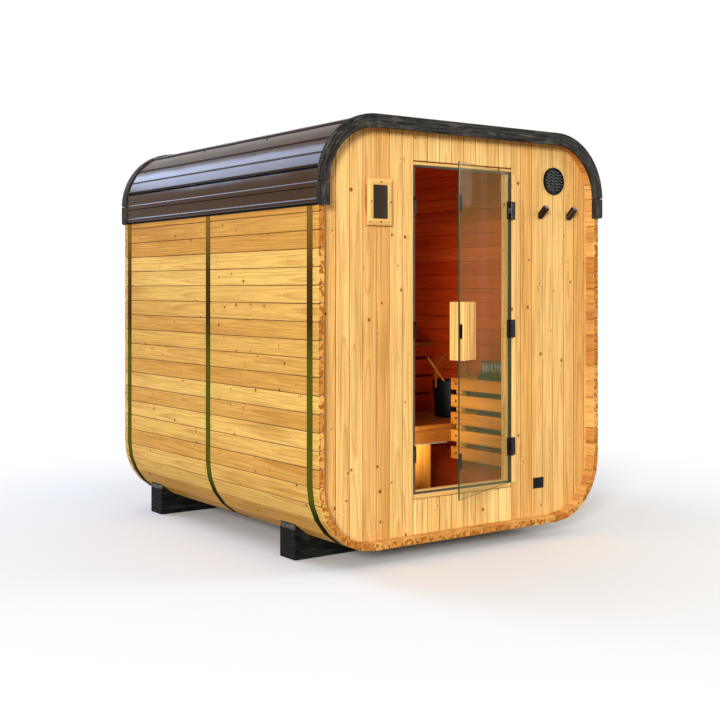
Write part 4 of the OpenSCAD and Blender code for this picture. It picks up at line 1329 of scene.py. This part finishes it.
def build_pail():
    """A turned bucket that widens upwards, with two raised bands and a groove at every fourth step
    round it, and a turned lug on each side for the hoop."""
    (x0, y0, z0), (x1, y1, z1) = corners("bucket")
    base, top = np.array([(x0 + x1) / 2, (y0 + y1) / 2, z0]), z1 - z0
    r1 = (y1 - y0) / 2
    r0, wall, band, raised, lug_z = r1 * 0.84, 0.006, 0.022, 0.0018, 0.205
    segments = 60
    grooved = 1 - 0.008 * (np.arange(segments) % 4 == 0)
    outside = [(POLE, 0), (r0 - 0.004, 0), (r0, 0.004)]
    for low in (0.16 * top, 0.74 * top):
        a, b = (r0 + (r1 - r0) * h / top for h in (low, low + band))
        outside += [(a, low), (a + raised, low), (b + raised, low + band), (b, low + band)]
    inside = [(r1 - 0.001, top - 0.002), (r1 - 0.003, top), (r1 - wall, top - 0.002),
              (r0 - wall, wall), (POLE, wall)]
    pail = lathe(outside + inside, base, (0, 0, 1), segments, grooved)
    out = np.array([[1.0, 0, 0], [-1.0, 0, 0]])
    lug = [(POLE, -0.006), (0.006, -0.006), (0.006, 0.003), (0.004, 0.005), (POLE, 0.005)]
    lugs = lathe(lug, base + [0, 0, lug_z] + (r1 - 0.001) * out, out, 12)
    piece("pail", [pail, lugs], ["moulded black plastic"],
          replaces=["bucket"])


def build_bucket_and_ladle():
    """The pail's hoop is a strip carried up one side, round half a circle and down the other. The
    ladle is a turned cup with a round arm that swells and thins along a straight line."""
    rng = np.random.default_rng(59)
    build_pail()
    (x0, y0, z0), (x1, y1, z1) = corners("bucket_handle")
    reach, thick, half = (x1 - x0) / 2, 0.005, (y1 - y0) / 2
    bend, out = arc(np.array([(x0 + x1) / 2, z1 - reach]), reach - thick, 180, 0, 25)
    path = np.concatenate([[[x0 + thick, z0]], bend, [[x1 - thick, z0]]])
    out = np.concatenate([[[-1, 0]], out, [[1, 0]]])
    path = in_space(path, (y0 + y1) / 2)[None]
    strip = swept(rectangle(0, thick, -half, half, 0.0015), path, in_space(out)[None],
                  np.broadcast_to([0.0, 1.0, 0.0], path.shape), rng, tone=0.3)
    piece("pail_hoop", [strip], ["bench planks", "sawn spruce ends"],
          replaces=["bucket_handle"])

    (x0, y0, z0), (x1, y1, z1) = corners("ladle")
    r, wall, deep = (y1 - y0) / 2, 0.004, 0.035
    foot = np.array([x1 - r, (y0 + y1) / 2, z0])
    cup = lathe([(POLE, 0), (r * 0.7, 0.0), (r * 0.94, 0.006), (r, 0.018), (r, deep),
                 (r - wall / 2, deep + 0.001), (r - wall, deep), (r - wall, 0.018),
                 (r * 0.7, 0.005), (POLE, wall)], foot, (0, 0, 1), 32)
    rise = foot + [-0.002, 0, 0.046]
    tip = np.array([x0 + 0.008, foot[1], z1 - 0.006])
    t = np.linspace(0, 1, 14)
    line = rise * (1 - t[:, None]) + tip * t[:, None]
    thick = np.interp(t, [0, 0.03, 0.12, 0.6, 0.95, 1],
                      [0.006, 0.009, 0.0075, 0.0085, 0.009, 0.004])
    arm = tubes([line], thick[None], rng, sides=12, lie=(0, 1, 0))
    piece("ladle_cup_and_handle", [cup, arm], ["bench planks"],
          replaces=["ladle"])


def build_stones(cabin, rng):
    """Stones heaped on a grid, at least two each way: spheres swollen by three sine waves in random
    directions, stretched along three axes and turned at random."""
    (x0, y0, z0), (x1, y1, z1) = corners("heater_stones")
    r, pack, stray, lump = cabin.stone, 1.62, 0.22, 0.13
    room = np.array([x1 - x0, y1 - y0, z1 - z0])
    counts = np.maximum(2, (room / (pack * r)).astype(int))
    grid = np.stack(np.meshgrid(*(np.arange(n) for n in counts), indexing="ij"), -1).reshape(-1, 3)
    count = len(grid)
    middles = np.array([x0, y0, z0]) + 1.05 * r + grid * (room - 2.1 * r) / (counts - 1)
    middles[:, :2] += rng.uniform(-stray, stray, (count, 2)) * r
    polar = np.radians(np.linspace(14, 166, 7))[:, None]
    around = np.linspace(0, 2 * math.pi, 10, False)
    ball = np.stack(np.broadcast_arrays(np.sin(polar) * np.cos(around),
                                        np.sin(polar) * np.sin(around), np.cos(polar)), -1)
    lobes = rng.uniform(-3.2, 3.2, (count, 3, 3))
    swell = 1 + lump * np.sin(np.einsum("nki,rci->nkrc", lobes, ball)).sum(1)
    stones = ball[None] * swell[..., None] * rng.uniform(0.75, 1.05, (count, 1, 1, 3)) * r
    turned, _ = np.linalg.qr(rng.normal(size=(count, 3, 3)))
    stones = np.einsum("nrci,nij->nrcj", stones, turned) + middles[:, None, None]
    piece("stones", [Patch(stones, tone=rng.uniform(0, 1, count))], ["heater stones"],
          replaces=["heater_stones"], sharp=50)
    return z1


def build_cage(rim, rng):
    """Wire round the stones: two rings, each an eased rectangle, and upright bars between them on
    three sides."""
    (x0, y0, _), (x1, y1, top) = corners("heater")
    inset, spacing, ring_wire, bar_wire = 0.006, 0.026, 0.0022, 0.0016
    ring = rectangle(x0 + inset, x1 - 0.008, y0 + inset, y1 - inset, 0.02)
    rings = [np.insert(ring, 2, z, axis=1) for z in (top + 0.012, rim - 0.004)]
    xs, ys = (np.arange(low + 0.03, high - 0.02, spacing) for low, high in ((x0, x1), (y0, y1)))
    feet = [(x0 + inset, y) for y in ys] + [(x, y) for x in xs for y in (y0 + inset, y1 - inset)]
    bars = [[[x, y, top - 0.004], [x, y, rim]] for x, y in feet]
    piece("stone_cage", [tubes(rings, ring_wire, rng, 8, wrap=True),
                         tubes(bars, bar_wire, rng, 6, lie=(1, 0, 0))], ["blackened screws"])


def build_heater():
    """A sheet case of three eased boxes with a set-in neck, with louvres on its front, under caged
    stones, and behind slats that fill boxes one pitch apart."""
    cabin, rng = sizes("cabin"), np.random.default_rng(61)
    (x0, y0, z0), (x1, y1, z1) = corners("heater")
    neck, hood, back, set_in = 0.030, 0.012, 0.001, 0.003
    case = [(x0, x1 - back, y0, y1, z0, z1 - neck),
            (x0 + set_in, x1 - back - set_in, y0 + set_in, y1 - set_in,
             z1 - neck - 0.001, z1 - hood),
            (x0, x1 - back, y0, y1, z1 - hood - 0.001, z1)]
    louvres = [(x0 - 0.0015, x0 + 0.004, y0 + 0.05, y1 - 0.05, z, z + 0.006)
               for z in z0 + 0.06 + np.arange(6) * 0.018]
    piece("heater_case", [boards(case, "zxy", rng, ease=0.006, cap=0),
                          boards(louvres, "yxz", rng, ease=0.001, cap=0)],
          ["enamelled heater steel"], replaces=["heater"])
    build_cage(build_stones(cabin, rng), rng)

    (x0, y0, z0), (x1, y1, z1) = corners("heater_guard")
    pitch, high, thick = cabin.guard_pitch, cabin.guard_slat, cabin.guard_t
    rows = z0 + pitch * np.arange(5)
    post, over = 0.045, 0.030
    inner, far = x0 + thick, y1 - over
    long = [(x0, inner, y0, y1, z, z + high) for z in rows]
    posts = [(inner, inner + post, y, y + post, z0, z1) for y in (y0, far - post)]
    rails = [(inner + post, x1, far - thick, far, rows[k], rows[k] + high) for k in (2, 4)]
    parts = [boards(boxes, order, rng, ease=0.003)
             for boxes, order in ((long, "yzx"), (posts, "zxy"), (rails, "xzy"))]
    piece("guard_boards", parts, ("guard slats", "sawn spruce ends"),
          replaces=["heater_guard"])


# ------------------------------------------------------------ fixings

FRONTWARDS = (0, -1, 0)


def on_roof(places, ys, height):
    """Points over the roof at each place across it and each y, and the directions out of it."""
    place, out = over_roof(np.asarray(places, float))
    points = np.concatenate([in_space(place + height * out, y) for y in ys])
    return points, np.concatenate([in_space(out)] * len(ys))


def both_sides(places):
    """Places up the left half of the roof, and the like places on the right half."""
    return np.concatenate([places, 2 * HALF_RUN - np.asarray(places)])


def build_roof_fixings(fit, roof):
    """Turned screw heads along lines: beside three seams of each side's sheets at four frames, and
    at even spacing round both trims and on the rear trim's lip."""
    sheet_screw, trim_pitch, trim_start = 0.008, 0.118, 0.035
    ys = [ROOF[0, 1] + f * (ROOF[1, 1] - ROOF[0, 1]) for f in (0.011, 0.338, 0.664, 0.989)]
    lines = [0.060, *(roof.first_seam + k * roof.panel - 0.018 for k in (1, 3))]
    points, out = on_roof(both_sides(lines), ys, roof.base)
    piece("roof_screws", [screws(points, out, sheet_screw)], ["blackened screws"])

    s = both_sides(np.arange(trim_start, HALF_RUN, trim_pitch))
    place, out = over_roof(s)
    place = place + (TRIM[1, 2] - Z1 - TRIM_DOWN) / 2 * out
    front, rear = in_space(place, TRIM[0, 1]), in_space(place, REAR_TRIM[1, 1])
    lip, up = on_roof(s[::2], [REAR_TRIM[0, 1] + 0.017], TRIM[1, 2] - Z1)
    piece("trim_screws", [screws(front, FRONTWARDS, fit.screw), screws(rear, (0, 1, 0), fit.screw),
                          screws(lip, up, fit.screw)], ["blackened screws"])


def build_fixings():
    """Turned screw heads at worked-out places: on the roof and trim, in the middle of the panel
    frame's sides, in the plate's corners, on the hinges and glass, and in the jamb and guard."""
    fit, cabin = sizes("fittings"), sizes("cabin")
    build_roof_fixings(fit, sizes("roof"))
    tack, corner = 0.003, 0.008
    surround, plate = corners("panel_frame"), corners("badge_plate")
    (cx, _, cz), half = surround.mean(0), (surround[1] - surround[0]) / 2
    inset = (corners("dark_panel")[0, 0] - surround[0, 0]) * PANEL_RIDGE
    dx, dz, y = half[0] - inset, half[2] - inset, surround[0, 1]
    mid_sides = [[cx - dx, y, cz], [cx + dx, y, cz], [cx, y, cz - dz], [cx, y, cz + dz]]
    tacks = [[x, plate[0, 1], z] for x in plate[:, 0] + [corner, -corner]
             for z in plate[:, 2] + [corner, -corner]]
    piece("front_screws", [screws(mid_sides, FRONTWARDS, fit.screw),
                           screws(tacks, FRONTWARDS, tack)], ["blackened screws"])

    fixed = corners("hinge_fixed_leaves")
    half_hinge, leaf_screw, glass_bolt = 0.05, 0.0038, 0.0065
    centres = [fixed[0, 2] + half_hinge, fixed[:, 2].mean(), fixed[1, 2] - half_hinge]
    leaf_x, leaf_y = fixed[1, 0] - 0.0075, FRAME[0, 1] - 0.016
    heads = [[leaf_x, leaf_y, z + d] for z in centres for d in (-0.036, 0.0, 0.036)]
    piece("hinge_screws", [screws(heads, FRONTWARDS, leaf_screw)], ["zinc plated steel"])
    bolts = [[GLASS[1, 0] - 0.017, GLASS[0, 1] - 0.004, z + d] for z in centres
             for d in (-0.03, 0.03)]
    piece("glass_bolts", [screws(bolts, FRONTWARDS, glass_bolt).moved(swung)],
          ["black powder coat"], body="door")

    jamb_screw, guard_screw = 0.0035, 0.008
    z = FRAME[1, 2] - 0.05 - np.cumsum([0, 0.05, 0.05, 0.06, 0.10, *[0.15] * 9])
    jamb = FRAME[1, 0] - sizes("door").right_jamb
    reveal = np.stack(np.broadcast_arrays(jamb, FRAME[0, 1] + 0.034, z), 1)
    guard = corners("heater_guard")
    rows = guard[0, 2] + cabin.guard_pitch * np.arange(5) + cabin.guard_slat / 2
    ends = [[guard[0, 0], y, z] for z in rows for y in (guard[0, 1] + 0.022, guard[1, 1] - 0.052)]
    piece("cabin_screws", [screws(reveal, (-1, 0, 0), jamb_screw),
                           screws(ends, (-1, 0, 0), guard_screw)], ["blackened screws"])


# ------------------------------------------------------------ stage

def build_stage():
    """The camera, an even white world, a round pale floor just under the sauna, and lamps set at
    headings and distances from the cabin's middle. The cabin's two lamps aren't seen themselves."""
    stage = sizes("stage")
    scene = bpy.context.scene
    scene.view_settings.view_transform = "Standard"
    eye = np.array(stage.eye) + [0, Y0, Z0]
    camera = bpy.data.objects.new("camera", bpy.data.cameras.new("camera"))
    camera.location, camera.rotation_euler = eye, (math.pi / 2, 0, -stage.turn)
    camera.data.lens, camera.data.shift_y = stage.lens, stage.shift
    camera.data.clip_end = 200
    scene.collection.objects.link(camera)
    scene.camera = camera

    world = bpy.data.worlds.new("studio")
    world.use_nodes = True
    scene.world = world
    tree = world.node_tree
    seen = seen_directly(tree)
    strength = node(tree, "Math", {0: seen, 1: 1 - stage.sky, 2: stage.sky},
                    operation="MULTIPLY_ADD")
    fed(tree.nodes["Background"], {"Color": (1, 1, 1, 1), "Strength": strength})

    turn = np.linspace(0, 2 * math.pi, 128, endpoint=False)
    disc = np.stack([np.cos(turn), np.sin(turn), 0 * turn], 1) * stage.floor_size
    mesh = bpy.data.meshes.new("studio_floor")
    mesh.from_pydata(disc.tolist(), [], [list(range(len(disc)))])
    mesh.materials.append(pale_floor("pale studio floor"))
    mesh.transform(Matrix.Translation((0, 0, -0.001)))
    floor = bpy.data.objects.new("studio_floor", mesh)
    scene.collection.objects.link(floor)

    target = np.array([0, (Y0 + Y1) / 2, (Z0 + Z1) / 2])
    for name, heading, away, size, roll, power, tint in (
            ("key", (-0.67, -0.67, 0.19), 18.0, (3.6, 3.6), 0, stage.key, "#FFFFFF"),
            ("fill", (0.80, -0.50, 0.30), 9.0, (4.0, 3.0), 0, stage.fill, "#FFFFFF"),
            ("back", (-0.370, 0.786, 0.497), 10.05, (4.0, 3.6), -26, stage.back, "#C2D8FF"),
            ("cabin", (-0.14, -0.60, -0.75), 0.95, (0.5, 0.35), 0, stage.cabin, "#FFFFFF"),
            ("cabin_side", (-1.0, 0.1, 0.05), 0.9, (1.2, 0.8), 0, 0.5 * stage.cabin, "#FFFFFF")):
        lamp = bpy.data.lights.new(name, "AREA")
        lamp.shape, lamp.energy, lamp.color = "RECTANGLE", power, linear(tint)[:3]
        lamp.size, lamp.size_y = size
        made = bpy.data.objects.new(name, lamp)
        place = target + away * np.array(heading) / np.linalg.norm(heading)
        made.location = place
        made.visible_camera = "cabin" not in name
        facing = Vector(place - target).to_track_quat("Z", "Y").to_matrix()
        made.rotation_euler = (facing @ Matrix.Rotation(math.radians(roll), 3, "Z")).to_euler()
        scene.collection.objects.link(made)


def seen_directly(tree):
    """1 for rays from the camera and from mirror-like or clear surfaces, and 0 for the rest."""
    path = node(tree, "LightPath")
    seen = path.outputs["Is Camera Ray"]
    for ray in ("Is Glossy Ray", "Is Transmission Ray"):
        seen = node(tree, "Math", {0: seen, 1: path.outputs[ray]}, operation="MAXIMUM")
    return seen


def pale_floor(name):
    """Matt white vinyl: it takes the shadow near the sauna and fades to plain white far away."""
    tree, shader = started(name, Roughness=0.9)
    seen = seen_directly(tree)
    shade = node(tree, "Mix", {0: seen, 6: linear("#868686"), 7: linear("#F4F4F4")},
                 data_type="RGBA")
    fed(shader, {"Base Color": shade})
    place = node(tree, "TexCoord").outputs["Object"]
    away = node(tree, "VectorMath", {0: place}, operation="LENGTH")
    far = node(tree, "MapRange", {0: away, 1: 1.6, 2: 4.2}, interpolation_type="SMOOTHSTEP")
    share = node(tree, "Math", {0: far, 1: seen}, operation="MULTIPLY")
    white = node(tree, "Emission", {"Color": (1, 1, 1, 1), "Strength": 1.0})
    mixed = node(tree, "MixShader", {0: share, 1: shader, 2: white})
    fed(tree.nodes["Material Output"], {"Surface": mixed})
    return bpy.data.materials[name]


# ------------------------------------------------------------ operators, panel and registration

class SAUNA_OT_stage(bpy.types.Operator):
    """Camera, lamps, world and pale floor"""
    bl_idname = "sauna.stage"
    bl_label = "Stage"

    def execute(self, context):
        build_stage()
        return {"FINISHED"}


class SAUNA_OT_staves(bpy.types.Operator):
    """Staves of the sides, floor, ceiling and corners, with their bead and cove"""
    bl_idname = "sauna.staves"
    bl_label = "Staves"

    def execute(self, context):
        build_staves()
        return {"FINISHED"}


class SAUNA_OT_end_walls(bpy.types.Operator):
    """Upright boards of the front and back walls"""
    bl_idname = "sauna.end_walls"
    bl_label = "End walls"

    def execute(self, context):
        build_end_walls()
        return {"FINISHED"}


class SAUNA_OT_roof(bpy.types.Operator):
    """Ribbed steel sheets over the top and down the sides"""
    bl_idname = "sauna.roof"
    bl_label = "Roof sheets"

    def execute(self, context):
        build_roof()
        return {"FINISHED"}


class SAUNA_OT_trim(bpy.types.Operator):
    """Black trim boards round the roof's two ends"""
    bl_idname = "sauna.trim"
    bl_label = "Trim"

    def execute(self, context):
        build_trim()
        return {"FINISHED"}


class SAUNA_OT_straps_and_cradles(bpy.types.Operator):
    """Steel straps round the shell and the two beams under it"""
    bl_idname = "sauna.straps_and_cradles"
    bl_label = "Straps and cradles"

    def execute(self, context):
        build_straps_and_cradles()
        return {"FINISHED"}


class SAUNA_OT_door_frame(bpy.types.Operator):
    """Lining, rubber seal, batten, catches and fixed hinge leaves"""
    bl_idname = "sauna.door_frame"
    bl_label = "Door frame"

    def execute(self, context):
        build_door_frame()
        return {"FINISHED"}


class SAUNA_OT_door(bpy.types.Operator):
    """Glass with its handles, strike plates and moving hinge leaves"""
    bl_idname = "sauna.door"
    bl_label = "Door"

    def execute(self, context):
        build_door()
        return {"FINISHED"}


class SAUNA_OT_front_fittings(bpy.types.Operator):
    """Vent, coat pegs, framed panel and bare plate"""
    bl_idname = "sauna.front_fittings"
    bl_label = "Front fittings"

    def execute(self, context):
        build_front_fittings()
        return {"FINISHED"}


class SAUNA_OT_benches(bpy.types.Operator):
    """Both seats, the lower bench's rail and legs, and the boards between"""
    bl_idname = "sauna.benches"
    bl_label = "Benches"

    def execute(self, context):
        build_benches()
        return {"FINISHED"}


class SAUNA_OT_bucket_and_ladle(bpy.types.Operator):
    """Pail with its hoop, and the ladle that stands in it"""
    bl_idname = "sauna.bucket_and_ladle"
    bl_label = "Bucket and ladle"

    def execute(self, context):
        build_bucket_and_ladle()
        return {"FINISHED"}


class SAUNA_OT_heater(bpy.types.Operator):
    """Heater with its stones, cage and slatted guard"""
    bl_idname = "sauna.heater"
    bl_label = "Heater"

    def execute(self, context):
        build_heater()
        return {"FINISHED"}


class SAUNA_OT_fixings(bpy.types.Operator):
    """Every screw that shows"""
    bl_idname = "sauna.fixings"
    bl_label = "Fixings"

    def execute(self, context):
        build_fixings()
        return {"FINISHED"}


class SAUNA_PT_panel(bpy.types.Panel):
    """The sauna's settings, with a button for each operator"""
    bl_idname = "SAUNA_PT_panel"
    bl_label = "Cube sauna"
    bl_space_type = "VIEW_3D"
    bl_region_type = "UI"
    bl_category = "Sauna"

    def draw(self, context):
        for group, kind in GROUPS.items():
            box = self.layout.box()
            box.label(text=group.capitalize())
            for name in kind.__annotations__:
                box.prop(sizes(group), name)
        for kind in OPERATORS:
            self.layout.operator(kind.bl_idname)


GROUPS = {
    "shell": SaunaShellSizes, "roof": SaunaRoofSizes, "door": SaunaDoorSizes,
    "fittings": SaunaFittingSizes, "cabin": SaunaCabinSizes, "colours": SaunaColours,
    "stage": SaunaStage,
}
OPERATORS = (
    SAUNA_OT_stage, SAUNA_OT_staves, SAUNA_OT_end_walls, SAUNA_OT_roof, SAUNA_OT_trim,
    SAUNA_OT_straps_and_cradles, SAUNA_OT_door_frame, SAUNA_OT_door, SAUNA_OT_front_fittings,
    SAUNA_OT_benches, SAUNA_OT_bucket_and_ladle, SAUNA_OT_heater, SAUNA_OT_fixings,
)


def register():
    """The classes, and a group of settings for each part of the sauna on the scene."""
    for kind in (*GROUPS.values(), *OPERATORS, SAUNA_PT_panel):
        bpy.utils.register_class(kind)
    for name, kind in GROUPS.items():
        setattr(bpy.types.Scene, "sauna_" + name, PointerProperty(type=kind))


def unregister():
    """What register added, taken away in the opposite order."""
    for name in GROUPS:
        delattr(bpy.types.Scene, "sauna_" + name)
    for kind in (SAUNA_PT_panel, *reversed(OPERATORS), *reversed(GROUPS.values())):
        bpy.utils.unregister_class(kind)


def main():
    """Registers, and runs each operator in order."""
    register()
    for kind in OPERATORS:
        group, name = kind.bl_idname.split(".")
        getattr(getattr(bpy.ops, group), name)()


if __name__ == "__main__":
    main()
